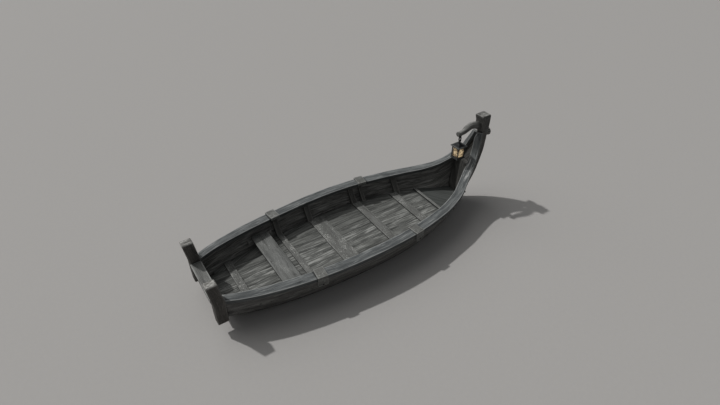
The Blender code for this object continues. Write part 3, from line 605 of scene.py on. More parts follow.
def place_piece(name, mesh, finish, nodes=(), body="hull"):
    """Puts a finished mesh in the scene, on its body, in the place of its solids."""
    mesh.materials.append(finish)
    piece = put(name, mesh)
    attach(piece, body)
    if nodes:
        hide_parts(*nodes)
    print(name, "has", len(mesh.vertices), "points")

# %% Timbers
EASE = np.radians([0, 30, 60, 90])
END_WEAR = 0.85
# Adze waves a metre across the grain, and how many fewer there are along it.
WAVES_ACROSS, FEWER_ALONG = 11.0, 8.0


def timber(name, corners, finish, radius=0.006, hew=0.001, spacing=0.03, nodes=None, body="hull", seed=None,
           ends=None, chips=0.5, tone=0.0):
    """A hewn timber through sections of corners, in the place of the solid of the same name.

    Each point moves out by hew times a noise of -1 to 1, drawn out along the timber. Each end closes
    in by ends (1 - sin a) while it runs back by ends (1 - cos a). The seed also shifts the grain map.
    """
    seed = sum(map(ord, name)) % 97 if seed is None else seed
    heading = corners[1].mean(axis=0) - corners[0].mean(axis=0)
    first = corners[0] - corners[0].mean(axis=0)
    if np.cross(first, np.roll(first, -1, axis=0)).sum(axis=0) @ heading < 0:
        corners = corners[:, ::-1]
    corners = resampled(corners, spacing)
    uneven = 1 + chips * soft_noise(corners, 7.0, seed)[:, :, None]
    rings, edge, middle = rounded(corners, radius * uneven)
    path = unit(np.gradient(rings.mean(axis=1), axis=0))
    sideways = np.roll(rings, -1, axis=1) - np.roll(rings, 1, axis=1)
    outward = unit(np.cross(sideways, path[:, None, :]))
    stretch = WAVES_ACROSS - FEWER_ALONG * np.abs(unit(heading))
    waves = soft_noise(rings, stretch, seed) * 0.7 + soft_noise(rings, stretch * 3, seed + 5) * 0.3
    rings = rings + outward * (waves * hew)[:, :, None]
    ease = radius if ends is None else ends
    inset = (ease * (1 - np.sin(EASE)))[:, None, None]
    depth = (ease * (1 - np.cos(EASE)))[:, None, None]
    head = rings[0] + path[0] * depth - outward[0] * inset
    tail = (rings[-1] - path[-1] * depth - outward[-1] * inset)[::-1]
    count, last = len(EASE), len(rings) - 1
    source = np.concatenate((np.zeros(count, int), np.arange(1, last), np.full(count, last)))
    edge, middle = edge[source], middle[source]
    edge[:count] = np.maximum(edge[:count], END_WEAR)
    edge[-count:] = np.maximum(edge[-count:], END_WEAR)
    rings = np.concatenate((head, rings[1:-1], tail))
    mesh = tube_mesh(name, rings, edge, middle, (seed * 1.37 % 9, seed * 0.73 % 7), tone)
    place_piece(name + "_timber", mesh, finish, (name,) if nodes is None else nodes, body)


def box_corners(low, high, axis):
    """The two end sections of a straight board that runs along an axis."""
    first, second = [k for k in range(3) if k != axis]
    corners = np.tile(np.array([low, high], dtype=float)[:, None], (1, 4, 1))
    corners[:, :, first] = low[first], high[first], high[first], low[first]
    corners[:, :, second] = low[second], low[second], high[second], high[second]
    return corners


def board_like(node, finish, **more):
    """A straight board across the boat that fills the box of its solid."""
    timber(node, box_corners(*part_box(node), 1), finish, **more)

# %% [markdown]
# ## The hull's lines
# Two curves draw the whole hull: the chine, where the sides meet the bottom, and the outer top edge
# of the rail. They are the same numbers as in the solids, with more steps between the stations, so
# that the planks bend without facets.

# %% Lines
# Columns: rail x, rail half breadth, rail top height, chine x, chine half breadth, chine height.
STATIONS = np.array([
    (-2.390, 0.530, 0.585, -2.390, 0.385, 0.150),
    (-2.200, 0.612, 0.581, -2.200, 0.425, 0.115),
    (-1.900, 0.703, 0.573, -1.900, 0.475, 0.070),
    (-1.500, 0.786, 0.565, -1.500, 0.525, 0.032),
    (-1.000, 0.851, 0.558, -1.000, 0.572, 0.007),
    (-0.500, 0.886, 0.563, -0.500, 0.598, 0.000),
    (0.000, 0.890, 0.565, 0.000, 0.603, 0.000),
    (0.500, 0.855, 0.560, 0.500, 0.577, 0.000),
    (0.950, 0.780, 0.556, 0.900, 0.514, 0.011),
    (1.350, 0.682, 0.562, 1.250, 0.410, 0.033),
    (1.700, 0.540, 0.594, 1.570, 0.287, 0.062),
    (1.920, 0.412, 0.672, 1.800, 0.202, 0.088),
    (2.080, 0.320, 0.775, 1.970, 0.155, 0.105),
    (2.200, 0.262, 0.880, 2.080, 0.125, 0.120),
    (2.300, 0.201, 0.985, 2.150, 0.098, 0.137),
    (2.370, 0.157, 1.130, 2.200, 0.077, 0.157),
    (2.438, 0.104, 1.300, 2.225, 0.058, 0.175),
])
STRAKE, LAP, SEAM = 0.022, 0.03, 0.0009
LAP_SHARES = (0.0, 0.36, 0.68, 1.0)
RAIL_HEIGHT, RAIL_NARROW, RAIL_SPREAD, MIDDLE_GAP = 0.06, 0.118, 0.042, 0.003
# The rail hangs over the planking by the first, and by less where the half breadth is under the second.
OVERHANG, OVERHANG_BREADTH = 0.03, 0.4
HALF_LENGTH, HULL_AFT = 2.4, -2.3894


def smooth_rows(rows, steps):
    """Curve through the rows, in cubics whose slope at a row is half the step between its neighbours."""
    rows = np.asarray(rows, dtype=float)
    points = np.vstack((2 * rows[0] - rows[1], rows, 2 * rows[-1] - rows[-2]))
    a, b, c, d = (points[k:len(rows) - 1 + k, None] for k in range(4))
    t = (np.arange(steps) / steps)[:, None]
    spans = 0.5 * (2 * b + (c - a) * t + (2 * a - 5 * b + 4 * c - d) * t ** 2
                   + (3 * b - a - 3 * c + d) * t ** 3)
    return np.vstack((spans.reshape(-1, rows.shape[1]), rows[-1]))


lines = smooth_rows(STATIONS, 10)
rail_edge, chine = lines[:, :3], lines[:, 3:6].copy()
chine[:, 2] = np.maximum(chine[:, 2], 0.0)
along = unit(np.gradient(rail_edge, axis=0))
rail_in = unit(np.stack((along[:, 1], -along[:, 0], np.zeros(len(along))), axis=1))
rail_down = unit(np.cross(along, rail_in))
fullness = np.clip(1 - (rail_edge[:, 0] / HALF_LENGTH) ** 4, 0, 1)
to_middle = (rail_edge[:, 1] + rail_down[:, 1] * RAIL_HEIGHT - MIDDLE_GAP) / -rail_in[:, 1]
rail_width = np.minimum(RAIL_NARROW + RAIL_SPREAD * fullness, to_middle)[:, None]
overhang = OVERHANG * np.clip(rail_edge[:, 1:2] / OVERHANG_BREADTH, 0.3, 1.0)
sheer = rail_edge + rail_down * (RAIL_HEIGHT + SEAM) + rail_in * overhang
laps = [chine + (sheer - chine) * share for share in LAP_SHARES]
up_side = unit(sheer - chine)
out = unit(np.cross(up_side, unit(np.gradient((chine + sheer) / 2, axis=0))))
print("hull rings:", len(lines), "beam:", round(2 * rail_edge[:, 1].max(), 3))

# %% Both sides and the planking's inside
SIDES = (("port", 1.0), ("starboard", -1.0))


def pair(name, corners, finish, aft_end=-np.inf, **more):
    """The same timber on both sides of the boat, with its aft end cut off square at aft_end."""
    corners = np.maximum(corners, (aft_end, -np.inf, -np.inf))
    for side_name, side in SIDES:
        timber(f"{name}_{side_name}", corners * (1.0, side, 1.0) + SHIFT, finish, **more)


@np.vectorize
def wall(x, z):
    """Half breadth inside the planking at x and z, both before the shift."""
    y, height = ([np.interp(x, line[:, 0], line[:, k]) for line in laps] for k in (1, 2))
    return float(np.interp(z, height, y))


def sheer_height(x):
    """Height of the planking's top edge at x."""
    return np.interp(x, sheer[:, 0], sheer[:, 2])


def along_rail(x):
    """The rail's outer top edge at x, and the directions inward and down from there."""
    return [np.stack([np.interp(x, rail_edge[:, 0], line[:, k]) for k in range(3)], axis=-1)
            for line in (rail_edge, rail_in, rail_down)]


print("inside, 0.3 m up amidships, the half breadth is", round(float(wall(0.0, 0.3)), 3))

# %% [markdown]
# ## Planking
# Each side has three planks that overlap like roof tiles, each outside the one below it. The lower
# edge of a plank stands out as a step along the hull, and its arrises are rubbed round.

# %% Strakes
LAP_HOOK = 0.002
for index, strake in enumerate(("lower", "middle", "upper")):
    low, high = laps[index], laps[index + 1]
    top = high + out * STRAKE
    if strake == "upper":
        top = high - rail_in * STRAKE / np.sum(out * -rail_in, axis=1, keepdims=True)
    if strake == "lower":
        foot = low + np.stack((0 * out[:, 0], STRAKE / out[:, 1], 0 * out[:, 2]), axis=1)
        section = [low, high, top, foot]
    else:
        inner = lap_point + out * SEAM
        knee = lap_edge + out * SEAM + unit(lap_edge - lap_point) * LAP_HOOK
        foot = inner + out * STRAKE
        section = [inner, knee, high, top, foot]
    lap_edge = top
    lap_point = top + unit(foot - top) * LAP
    pair(f"strake_{strake}", np.stack(section, axis=1), WOOD["hull"], HULL_AFT, radius=0.005, hew=0.0008,
         spacing=0.028, ends=0.0015)

# %% [markdown]
# ## Rails
# The rails are the broad flat timbers on top of the planking. They sweep up at the bow until they run
# beside the stem. Their tops have gone blue-grey, with pale worn edges.

# %% Rails
rail_corners = np.stack([rail_edge, rail_edge + rail_in * rail_width,
                         rail_edge + rail_in * rail_width + rail_down * RAIL_HEIGHT,
                         rail_edge + rail_down * RAIL_HEIGHT], axis=1)
short = (rail_corners[0, :, 0] - HULL_AFT) / along[0, 0]
rail_corners[0] = rail_corners[0] - along[0] * short[:, None]
pair("rail", rail_corners, WOOD["rail"], HULL_AFT, radius=0.008, hew=0.0014, spacing=0.028, ends=0.004)
print("rail's inner end moved aft by", round(float(short[1]), 3))

# %% [markdown]
# ## Bottom
# Three wide planks lie under the floor. They show only from below, so they keep their solids' plain
# outline and get the hull's timber.

# %% Bottom planks
BOTTOM, BOTTOM_GAP, LEAST_WIDTH = 0.028, 0.0004, 0.012
BOTTOM_SEAMS = (0.22, 0.2204)
bottom_x = np.append(np.arange(-2.389, 2.09, 0.06), 2.1046)
bottom_y, bottom_z = (np.interp(bottom_x, chine[:, 0], chine[:, k]) for k in (1, 2))
bottom_y = bottom_y - BOTTOM_GAP


def flat_board(x, inner, outer, low, high):
    """Sections along x, from inner to outer across the boat and from low to high."""
    return sections((x, inner, low), (x, outer, low), (x, outer, high), (x, inner, high))


half = np.minimum(BOTTOM_SEAMS[0], bottom_y)
centre_plank = flat_board(bottom_x, -half, half, bottom_z, bottom_z + BOTTOM)
side_plank = flat_board(bottom_x, BOTTOM_SEAMS[1], bottom_y, bottom_z, bottom_z + BOTTOM)
timber("bottom_plank_centre", centre_plank + SHIFT, WOOD["hull"], radius=0.003, hew=0.0)
wide = bottom_y > BOTTOM_SEAMS[1] + LEAST_WIDTH
pair("bottom_plank", side_plank[wide], WOOD["hull"], radius=0.003, hew=0.0)

# %% [markdown]
# ## Stem
# The stem is one curved timber, and its head is cut to a block that ropes have rubbed pale. The curve
# goes through the same rings as the solid, and only the head keeps its straight cuts.

# %% Stem and peg
# Columns: front x, front z, aft x, aft z, half width.
STEM_RINGS = np.array([
    (2.105, 0.104, 2.105, 0.290, 0.088),
    (2.200, 0.118, 2.130, 0.310, 0.060),
    (2.265, 0.165, 2.155, 0.345, 0.055),
    (2.318, 0.235, 2.185, 0.400, 0.055),
    (2.400, 0.360, 2.235, 0.490, 0.055),
    (2.470, 0.510, 2.290, 0.600, 0.056),
    (2.530, 0.690, 2.345, 0.740, 0.057),
    (2.576, 0.870, 2.390, 0.900, 0.058),
    (2.600, 1.050, 2.430, 1.060, 0.059),
    (2.609, 1.200, 2.465, 1.200, 0.060),
    (2.611, 1.306, 2.480, 1.306, 0.060),
    (2.611, 1.322, 2.430, 1.322, 0.071),
    (2.604, 1.500, 2.430, 1.500, 0.083),
    (2.597, 1.578, 2.408, 1.578, 0.088),
    (2.590, 1.600, 2.414, 1.600, 0.081),
])
CURVED = 11
stem_rows = np.vstack((smooth_rows(STEM_RINGS[:CURVED], 6), STEM_RINGS[CURVED:]))
front_x, front_z, aft_x, aft_z, half = stem_rows.T
stem = sections((front_x, half, front_z), (aft_x, half, aft_z), (aft_x, -half, aft_z),
                (front_x, -half, front_z))
timber("stem", stem + SHIFT, WOOD["stem"], hew=0.0018, spacing=0.02, ends=0.005, chips=0.7)

PEG_Z, PEG_RADIUS, PEG_TAPER, PEG_SIDES = 1.232, 0.072, 0.86, 12
peg_ends = np.array(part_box("stem_peg"))[:, 0]
peg_radii = PEG_RADIUS * np.array([PEG_TAPER, 1.0])
peg = sections(*((peg_ends, np.cos(a) * peg_radii, PEG_Z + np.sin(a) * peg_radii)
                 for a in full_turn(PEG_SIDES)))
timber("stem_peg", peg, WOOD["stem"], hew=0.0015, spacing=0.012, ends=0.012)

# %% [markdown]
# ## Inside the bow
# A raking board closes the bow inside, a small shelf lies on top of it, and a smooth board fills the
# floor in front of the planks.

# %% Apron, lining, breasthook and sole
# Columns: height, aft face's x.
APRON = np.array([(0.2, 2.06), (0.3, 2.065), (0.45, 2.105), (0.65, 2.16), (0.78, 2.2), (0.812, 2.228)])
LINING = np.array([(0.8125, 2.228), (0.884, 2.262), (0.948, 2.292), (1.025, 2.335), (1.102, 2.361),
                   (1.187, 2.389), (1.24, 2.41)])
APRON_THICK, LINING_THICK = 0.04, 0.018
SHELF_LOW, SHELF_HIGH, SHELF_X = 0.8124, 0.8384, np.array([2.25, 2.301, 2.352])
SOLE_X = np.linspace(1.448, 2.055, 16)
FLOOR_Z, FLOOR_DEPTH = 0.218, 0.02
FLOOR_LOW = FLOOR_Z - FLOOR_DEPTH
BOW_GAP, LINING_GAP, FLOOR_GAP = 0.008, 0.006, 0.004


def raked_board(x, z, thick, half, fore_half):
    """Sections up a board from x to x + thick, with a half width of its own for each face."""
    return sections((x, half, z), (x + thick, fore_half, z), (x + thick, -fore_half, z), (x, -half, z))


z, x = APRON.T
half = wall(x, z) - BOW_GAP
fore_half = np.minimum(half, wall(x + APRON_THICK, z) - BOW_GAP)
apron = raked_board(x, z, APRON_THICK, half, fore_half)
timber("stem_apron", apron + SHIFT, WOOD["lining"], radius=0.004)
z, x = LINING.T
half = wall(x, np.minimum(z, sheer_height(x))) - LINING_GAP
lining = raked_board(x, z, LINING_THICK, half, half)
timber("stem_lining", lining + SHIFT, WOOD["lining"], radius=0.003, nodes=())
half = np.minimum(wall(SHELF_X, SHELF_LOW), wall(SHELF_X, SHELF_HIGH)) - BOW_GAP
shelf = flat_board(SHELF_X, -half, half, SHELF_LOW, SHELF_HIGH)
timber("breasthook", shelf + SHIFT, WOOD["lining"], radius=0.004, tone=0.65)
half = wall(SOLE_X, FLOOR_LOW) - FLOOR_GAP
timber("bow_sole", flat_board(SOLE_X, -half, half, FLOOR_LOW, FLOOR_Z) + SHIFT, WOOD["sole"], radius=0.003)

# %% [markdown]
# ## Stern
# Two square posts stand at the stern, upright to the cap board and then raked aft. Their tops are the
# palest wood on the boat.

# %% Posts, transom and cap
# Columns: height, rake aft.
POST = np.array([(0.185, 0.0), (0.555, 0.0), (0.888, 0.0376), (0.91, 0.04)])
POST_AFT, POST_FORE, POST_IN, POST_OUT = -2.545, -2.39, 0.395, 0.525
z, rake = POST.T
post = sections(*((x - rake, y, z) for x, y in ((POST_AFT, POST_IN), (POST_FORE, POST_IN),
                                                (POST_FORE, POST_OUT), (POST_AFT, POST_OUT))))
pair("stern_post", post, WOOD["post"], radius=0.011, hew=0.0022, spacing=0.02, ends=0.02, chips=0.7)
board_like("transom_board", WOOD["hull"])
board_like("transom_cap", WOOD["cap"], radius=0.008, hew=0.0015)

# %% [markdown]
# ## Floor
# Seven planks of uneven width run fore and aft. Feet have polished the middle of each, so they are
# pale along their crowns, and painted shade with dirt darkens their seams. Ribs and a wide foot board lie
# across them.

# %% Floor planks
FLOOR_EDGES = (-0.74, -0.42, -0.265, -0.12, 0.07, 0.215, 0.37, 0.74)
HALF_SEAM, NARROWEST = 0.0012, 0.03
floor_x = np.append(np.arange(-2.388, 1.44, 0.12), 1.445)
floor_half = wall(floor_x, FLOOR_LOW) - FLOOR_GAP
planks = list(zip(FLOOR_EDGES, FLOOR_EDGES[1:]))
for number, (first, second) in enumerate(planks):
    inner = np.maximum(first + HALF_SEAM, -floor_half)
    outer = np.minimum(second - HALF_SEAM, floor_half)
    plank = flat_board(floor_x, inner, outer, FLOOR_LOW, FLOOR_Z)[outer - inner > NARROWEST]
    timber(f"floor_plank_{number + 1}", plank + SHIFT, WOOD["floor"], radius=0.0035, spacing=0.04,
           seed=number * 7 + 3)

# %% Boards across the floor, thwart and bearers
NAILED = ("floor_rib_stern", "floor_rib_aft", "foot_board", "floor_rib_middle", "floor_rib_forward")
for node in (*NAILED, "sole_batten"):
    board_like(node, WOOD["board"], radius=0.007, hew=0.0014)
board_like("thwart", WOOD["thwart"], hew=0.0014)
BEARER_GAP = 0.005
for number in (1, 2, 3):
    (aft, _, low), (fore, _, high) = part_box(f"floor_bearer_{number}")
    ends = np.array([-1, 1])
    bearer = sections(*((x, ends * (wall(x - SHIFT[0], z) - BEARER_GAP), z)
                        for x, z in ((aft, low), (fore, low), (fore, high), (aft, high))))
    timber(f"floor_bearer_{number}", bearer, WOOD["hull"], radius=0.003, hew=0.0)

# %% [markdown]
# ## Ribs, risers and saddles
# Short ribs stiffen the sides from the floor to the rail. Four saddles are clamped over the rails,
# with a long leg outside and a short lip inside, and a bolt through the leg.

# %% Side ribs and risers
# Columns: name, aft x, forward x, thickness.
SIDE_RIBS = (
    ("side_rib_aft", -1.14, -1.05, 0.045),
    ("side_rib_board", -0.56, -0.47, 0.045),
    ("side_rib_middle", 0.3, 0.39, 0.045),
    ("side_rib_narrow", 0.505, 0.565, 0.034),
    ("side_rib_forward", 1.11, 1.2, 0.045),
)
KNEE, RIB_GAP, RIB_TOP_GAP, RIB_FOOT = 1.1, 0.0025, 0.004, 0.0004
RISER_X, RISER_TOP, RISER_DEEP, RISER_THICK = np.array([-1.62, -1.205]), 0.3356, 0.05, 0.046
# How far a riser's lower and upper corners lie past the planking's inner line.
RISER_SEATS = (0.005, 0.001)
for name, aft, fore, thick in SIDE_RIBS:
    top = sheer_height((aft, fore)).min() - RIB_TOP_GAP
    z = np.linspace(FLOOR_Z + RIB_FOOT, top, 8)
    aft_y, fore_y = wall(aft, z) - RIB_GAP, wall(fore, z) - RIB_GAP
    knee = thick * (1 + KNEE * (1 - (z - FLOOR_Z) / (top - FLOOR_Z)) ** 2)
    rib = sections((aft, aft_y, z), (fore, fore_y, z), (fore, fore_y - knee, z), (aft, aft_y - knee, z))
    pair(name, rib, WOOD["rib"], radius=0.008, hew=0.0014, spacing=0.025)
riser_low = RISER_TOP - RISER_DEEP
y_low, y_high = wall(RISER_X, riser_low) + RISER_SEATS[0], wall(RISER_X, RISER_TOP) + RISER_SEATS[1]
riser = sections((RISER_X, y_low, riser_low), (RISER_X, y_high, RISER_TOP),
                 (RISER_X, y_high - RISER_THICK, RISER_TOP), (RISER_X, y_low - RISER_THICK, riser_low))
pair("thwart_riser", riser, WOOD["hull"], radius=0.004)

# %% Saddles
SADDLE, SADDLE_GAP, SADDLE_SEAT = 0.018, 0.0014, -0.0006
SADDLE_LIP, SADDLE_LEG = 0.038, 0.15
for name, aft, fore in SADDLES:
    xs = np.linspace(aft, fore, 4)
    corner, inward, down = along_rail(xs)
    width = np.interp(xs, rail_edge[:, 0], rail_width[:, 0])[:, None] + SADDLE_GAP
    section = [corner + inward * across + down * depth for across, depth in (
        (-SADDLE_GAP, SADDLE_SEAT), (width, SADDLE_SEAT), (width, SADDLE_LIP), (width + SADDLE, SADDLE_LIP),
        (width + SADDLE, SADDLE_SEAT - SADDLE), (-SADDLE_GAP - SADDLE, SADDLE_SEAT - SADDLE),
        (-SADDLE_GAP - SADDLE, SADDLE_LEG), (-SADDLE_GAP, SADDLE_LEG))]
    pair(name, np.stack(section, axis=1), WOOD["saddle"], spacing=0.016)

# %% [markdown]
# ## Lantern arm and link
# A thick bent arm grows out of the stem's head. An iron eye is driven into it from below near the tip,
# a narrow iron link hangs in that eye, and the lantern's own eye hangs in the link.

# %% Arm
# Columns: x, z, radius factor.
ARM_PATH = np.array([
    (2.4296, 1.424, 1.60),
    (2.418, 1.424, 1.60),
    (2.405, 1.424, 1.60),
    (2.370, 1.432, 1.58),
    (2.310, 1.450, 1.55),
    (2.250, 1.456, 1.52),
    (2.195, 1.444, 1.47),
    (2.150, 1.421, 1.38),
    (2.105, 1.396, 1.20),
    (2.060, 1.384, 1.08),
    (2.005, 1.380, 1.05),
    (1.962, 1.384, 1.05),
])
ARM_RADIUS = 0.04
PIVOT = np.array([2.03, 0.0, 1.322]) + SHIFT


def swept_rings(centres, radii, sides, up=(0.0, 1.0, 0.0), closed=False):
    """Rings of points round a path: centre + radius (cos a up + sin a side)."""
    loop_step = np.roll(centres, -1, axis=0) - np.roll(centres, 1, axis=0)
    path = unit(loop_step if closed else np.gradient(centres, axis=0))
    up = unit(up - path * (path @ up)[:, None])
    side = np.cross(path, up)
    turn = full_turn(sides)[:, None]
    return centres[:, None] + np.reshape(radii, (-1, 1, 1)) * (np.cos(turn) * up[:, None]
                                                               + np.sin(turn) * side[:, None])


arm_rows = smooth_rows(ARM_PATH, 6)
arm_centres = np.stack((arm_rows[:, 0], 0 * arm_rows[:, 0], arm_rows[:, 1]), axis=1) + SHIFT
timber("lantern_arm", swept_rings(arm_centres, arm_rows[:, 2] * ARM_RADIUS, 14), WOOD["arm"],
       radius=0.004, hew=0.002, spacing=0.01, ends=0.01)

# %% Link
def closed_wire(name, centres, radius, finish, nodes, body, sides=12):
    """A round bar bent into a flat closed loop."""
    plane = unit(np.cross(centres[1] - centres[0], centres[2] - centres[0]))
    rings = swept_rings(centres, radius, sides, plane, closed=True)
    mesh = skin(name, rings, ring_faces(len(centres), sides, closed=True).tolist())
    add_measures(mesh, edge=0.35)
    place_piece(name, mesh, finish, nodes, body)


def rounded_loop(half_width, top, bottom, corner, steps=8):
    """A loop across the boat: four quarter circles about points a corner's radius inside."""
    turn = np.radians(np.linspace(0, 90, steps + 1))
    rows = []
    for quarter, (y, z) in enumerate(((1, top - corner), (-1, top - corner), (-1, bottom + corner),
                                      (1, bottom + corner))):
        a = turn + quarter * np.pi / 2
        rows.append(np.stack((0 * a, y * (half_width - corner) + corner * np.cos(a),
                              z + corner * np.sin(a)), axis=1))
    return np.concatenate(rows)


def upright_ring(centre_z, radius, steps=28):
    """A circle in the fore and aft plane through the pivot."""
    a = full_turn(steps)
    return np.stack((PIVOT[0] + radius * np.cos(a), 0 * a, centre_z + radius * np.sin(a)), axis=1)


LINK_LENGTH, LINK_WIRE = 0.085, 0.0108
LINK_HALF, LINK_CORNER, LINK_DROP = 0.0187, 0.0186, 0.0026
ARM_EYE, ARM_EYE_WIRE, ARM_EYE_RISE = 0.0215, 0.0065, 0.0038
closed_wire("arm_eye", upright_ring(PIVOT[2] + ARM_EYE_RISE, ARM_EYE), ARM_EYE_WIRE, WIRE_IRON, (), "hull")
link_path = rounded_loop(LINK_HALF, 0.0, -LINK_LENGTH - LINK_DROP, LINK_CORNER) + PIVOT
closed_wire("iron_link", link_path, LINK_WIRE, WIRE_IRON, ("lantern_link",), "link")

# %% [markdown]
# ## Lantern
# The lantern is a square iron cage with a flared roof. The eye is wire bent to a ring on the roof's
# peak. Its four panes are set behind the bars, and a stub of candle burns on the base.

# %% Roof and eye
ROOF_EYE, ROOF_EYE_WIRE = 0.021, 0.0048
ROOF_EYE_Z = PIVOT[2] - LINK_LENGTH - 0.0074
# Columns: half width, height.
ROOF = ((0.097, 1.142), (0.1, 1.144), (0.1, 1.1525), (0.097, 1.1545), (0.078, 1.155), (0.062, 1.1556),
        (0.05, 1.1562), (0.043, 1.157), (0.041, 1.165), (0.034, 1.171), (0.022, 1.181), (0.014, 1.19),
        (0.01, 1.212))
BASE = ((0.081, 0.918), (0.088, 0.922), (0.088, 0.93), (0.082, 0.934), (0.082, 0.9396))


def square_rings(rows, centre=PIVOT):
    """Square sections from rows of half width and height."""
    half, z = np.array(rows).T
    return sections(*((centre[0] + x * half, centre[1] + y * half, z) for x, y in SQUARE))


def iron_piece(name, corners, nodes=(), radius=0.002, finish=IRON):
    """A forged piece of the lantern, with its sharp edges just broken."""
    timber(name, corners, finish, radius=radius, hew=0.0004, spacing=0.004, nodes=nodes, body="lantern",
           ends=radius, chips=0.2)


iron_piece("roof", square_rings(ROOF), ("lantern_roof",), 0.003, ROOF_IRON)
closed_wire("roof_eye", upright_ring(ROOF_EYE_Z, ROOF_EYE), ROOF_EYE_WIRE, WIRE_IRON, (), "lantern")

# %% Cage and base
CAGE, BAR, CAGE_LOW, CAGE_HIGH, TOP_BAR, BAR_GAP = 0.078, 0.014, 0.94, 1.1416, 0.024, 0.0005
for x, end in ((-1, "aft"), (1, "fore")):
    for y, side_name in ((-1, "starboard"), (1, "port")):
        centre = PIVOT + np.array([x, y, 0]) * (CAGE - BAR / 2)
        bar = square_rings([(BAR / 2, CAGE_LOW), (BAR / 2, CAGE_HIGH)], centre)
        iron_piece(f"corner_bar_{end}_{side_name}", bar, ("lantern_cage",) if x + y == -2 else ())
for level, z, tall in (("low", CAGE_LOW, BAR), ("high", CAGE_HIGH - TOP_BAR, TOP_BAR)):
    for axis, direction in enumerate(("fore_and_aft", "athwart")):
        for sign, place in ((-1, "first"), (1, "second")):
            other = 1 - axis
            low = np.array([-CAGE + BAR, -CAGE + BAR, z]) + (PIVOT[0], 0, 0)
            high = np.array([CAGE - BAR, CAGE - BAR, z + tall]) + (PIVOT[0], 0, 0)
            line = PIVOT[other] + sign * (CAGE - BAR / 2)
            low[other], high[other] = line - BAR / 2 + BAR_GAP, line + BAR / 2 - BAR_GAP
            iron_piece(f"frame_bar_{level}_{direction}_{place}", box_corners(low, high, axis))
iron_piece("base", square_rings(BASE), ("lantern_base",), 0.003)

# %% Panes, candle and flame
PANE_HALF, PANE_THICK, PANE_BULGE, PANE_GAP, GRID = 0.0628, 0.004, 0.001, 0.001, 13
PANE_SHARE = 0.985


def pane(name, axis, sign, nodes):
    """One sheet of glass, bulged a little: offset (1 - a^2)(1 - b^2) over its face."""
    steps = np.linspace(-1, 1, GRID)
    a, b = np.meshgrid(steps, steps, indexing="ij")
    bulge = (1 - a ** 2) * (1 - b ** 2)
    points = np.empty((2, GRID, GRID, 3))
    for face, offset in zip(points, (0.0, -PANE_THICK)):
        face[..., axis] = sign * (PANE_HALF + offset + bulge * PANE_BULGE)
        face[..., 1 - axis] = a * PANE_HALF * PANE_SHARE
        face[..., 2] = b * ((CAGE_HIGH - CAGE_LOW) / 2 - PANE_GAP)
    points += PIVOT[0], 0.0, (CAGE_LOW + CAGE_HIGH) / 2
    number = np.arange(GRID * GRID).reshape(GRID, GRID)
    cells = (number[:-1, :-1], number[1:, :-1], number[1:, 1:], number[:-1, 1:])
    front = np.stack(cells, axis=-1).reshape(-1, 4)
    rim = np.concatenate((number[0, :-1], number[:-1, -1], number[-1, :0:-1], number[:0:-1, 0]))
    beside, back = np.roll(rim, -1), GRID * GRID
    walls = np.stack((rim, rim + back, beside + back, beside), axis=1)
    faces = np.concatenate((front, front[:, ::-1] + back, walls))
    if sign * (1 if axis == 0 else -1) < 0:
        faces = faces[:, ::-1]
    mesh = skin(name, points, faces.tolist())
    add_measures(mesh, middle=np.tile(bulge.ravel(), 2), height=np.tile((b * 0.5 + 0.5).ravel(), 2))
    place_piece(name, mesh, PANE, nodes, "lantern")


pane("pane_aft", 0, -1, ("lantern_glass",))
for name, axis, sign in (("pane_fore", 0, 1), ("pane_starboard", 1, -1), ("pane_port", 1, 1)):
    pane(name, axis, sign, ())
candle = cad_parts["lantern_candle"]
candle.data.materials.clear()
candle.data.materials.append(WAX)
# Columns: height, radius.
FLAME_ROWS = ((1.031, 0.0015), (1.04, 0.006), (1.05, 0.0085), (1.062, 0.007), (1.075, 0.0035),
              (1.084, 0.0008))
z, radii = smooth_rows(FLAME_ROWS, 3).T
flame = swept_rings(np.stack((0 * z + PIVOT[0], 0 * z, z), axis=1), radii, 12)
place_piece("flame", tube_mesh("flame", flame, 0.0, 0.0, (0, 0)), FLAME, (), "lantern")

# %% [markdown]
# ## Fastenings
# Round-headed bolts hold the saddles, and rows of small clenched nails hold the laps and the floor.
# A head is a low dome, so one short profile turned round serves for all of them.

# %% Domes
DOME_RISE = np.radians([-15, 10, 35, 60, 80])
# How far a head on a lap sits outside the planks' faces.
PROUD = 0.0012


def domes(name, places, normals, radius, finish, height, sides, slot=None):
    """Low domes on a surface: rings of radius r cos a at height h r sin a above each place."""
    helper = np.where(np.abs(normals[:, 2:3]) < 0.9, [[0.0, 0.0, 1.0]], [[1.0, 0.0, 0.0]])
    first = unit(np.cross(helper, normals))
    second = np.cross(normals, first)
    turn = full_turn(sides)[:, None]
    ring = np.cos(turn) * first[:, None] + np.sin(turn) * second[:, None]
    rise = DOME_RISE[:, None, None]
    rings = places[:, None, None] + radius * (np.cos(rise) * ring[:, None]
                                              + height * np.sin(rise) * normals[:, None, None])
    levels = len(DOME_RISE)
    start = np.arange(len(places))[:, None] * levels * sides
    quads = (start[..., None] + ring_faces(levels, sides)).reshape(-1, 4)
    crown = start + (levels - 1) * sides + np.arange(sides)
    under = start + np.arange(sides)[::-1]
    mesh = skin(name, rings, quads.tolist() + crown.tolist() + under.tolist())
    add_measures(mesh, edge=0.45)
    place_piece(name, mesh, finish)


def mirrored(places, normals, sides=(1.0, -1.0)):
    """The same places and directions on the given sides of the boat."""
    flips = np.array([(1.0, side, 1.0) for side in sides])
    return (places[:, None] * flips + SHIFT).reshape(-1, 3), unit(normals[:, None] * flips).reshape(-1, 3)


def on_lap(index, rows, rise):
    """Places just above or below the step of a lap, and the direction out of the planking there."""
    return laps[index][rows] + out[rows] * (2 * STRAKE + PROUD) + up_side[rows] * rise, out[rows]


print("a dome has", len(DOME_RISE), "rings")

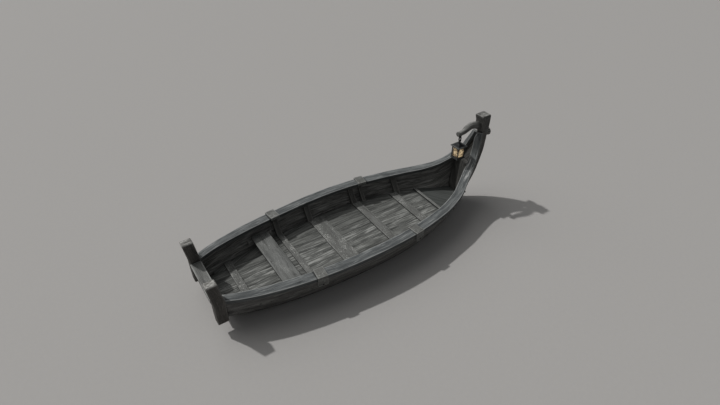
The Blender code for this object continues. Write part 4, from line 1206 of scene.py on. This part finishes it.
# %% Bolts, pegs, plates and nails
BOLT_X, BOLT_DROP, SINK = np.array([-1.125, 0.555]), 0.12, 0.001
PEG_X, PEG_DROP = np.array([1.11, 1.4, 1.797]), 0.048
PLATE_X = np.array([[-1.973], [-1.834], [-1.255], [-0.898]])
NAIL_EVERY, BARE_RINGS, NAIL_MARGIN, NAIL_SINK, THWART_BARE = 8, 12, 0.03, 0.0005, 0.55
PLATE_RISE, NAIL_RISE = 0.01, -0.014

corner, inward, down = along_rail(BOLT_X)
bolts = mirrored(corner - inward * (SADDLE + SADDLE_GAP - SINK) + down * BOLT_DROP, -inward)
corner, inward, down = along_rail(PEG_X)
pegs = mirrored(corner + down * PEG_DROP, -inward, (-1.0,))
plates = mirrored(*on_lap(2, np.abs(lines[:, 0] - PLATE_X).argmin(axis=1), PLATE_RISE))
rows = np.arange(NAIL_EVERY, len(lines) - BARE_RINGS, NAIL_EVERY)
both_laps = (mirrored(*on_lap(index, rows, NAIL_RISE)) for index in (1, 2))
lap_nails = [np.concatenate(parts) for parts in zip(*both_laps)]

board_nails = []
for node in (*NAILED, "thwart"):
    low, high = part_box(node)
    for share, aside in ((0.25, -0.02), (0.75, 0.02)):
        for first, second in planks:
            y = (first + second) / 2 + aside
            bare = node == "thwart" and abs(y) <= THWART_BARE
            if low[1] + NAIL_MARGIN < y < high[1] - NAIL_MARGIN and not bare:
                board_nails.append((low[0] + (high[0] - low[0]) * share, y, high[2] - NAIL_SINK))
board_nails = np.array(board_nails)
# After the places and directions: radius, finish, height as a share of the radius, and sides.
domes("saddle_washers", *bolts, 0.024, WASHER_IRON, 0.18, 18)
domes("saddle_bolts", *bolts, 0.014, WIRE_IRON, 0.75, 14)
domes("rail_pegs", *pegs, 0.016, WOOD["rib"], 1.1, 12, slot="post_wood")
domes("hull_plates", *plates, 0.021, WASHER_IRON, 0.2, 16)
domes("hull_plate_heads", *plates, 0.01, WIRE_IRON, 0.6, 12)
domes("lap_nails", *lap_nails, 0.0065, IRON, 0.5, 8)
domes("board_nails", board_nails, board_nails * 0 + (0, 0, 1), 0.0055, IRON, 0.35, 8)
print("bolts:", len(bolts[0]), "nails:", len(lap_nails[0]) + len(board_nails))

# %% [markdown]
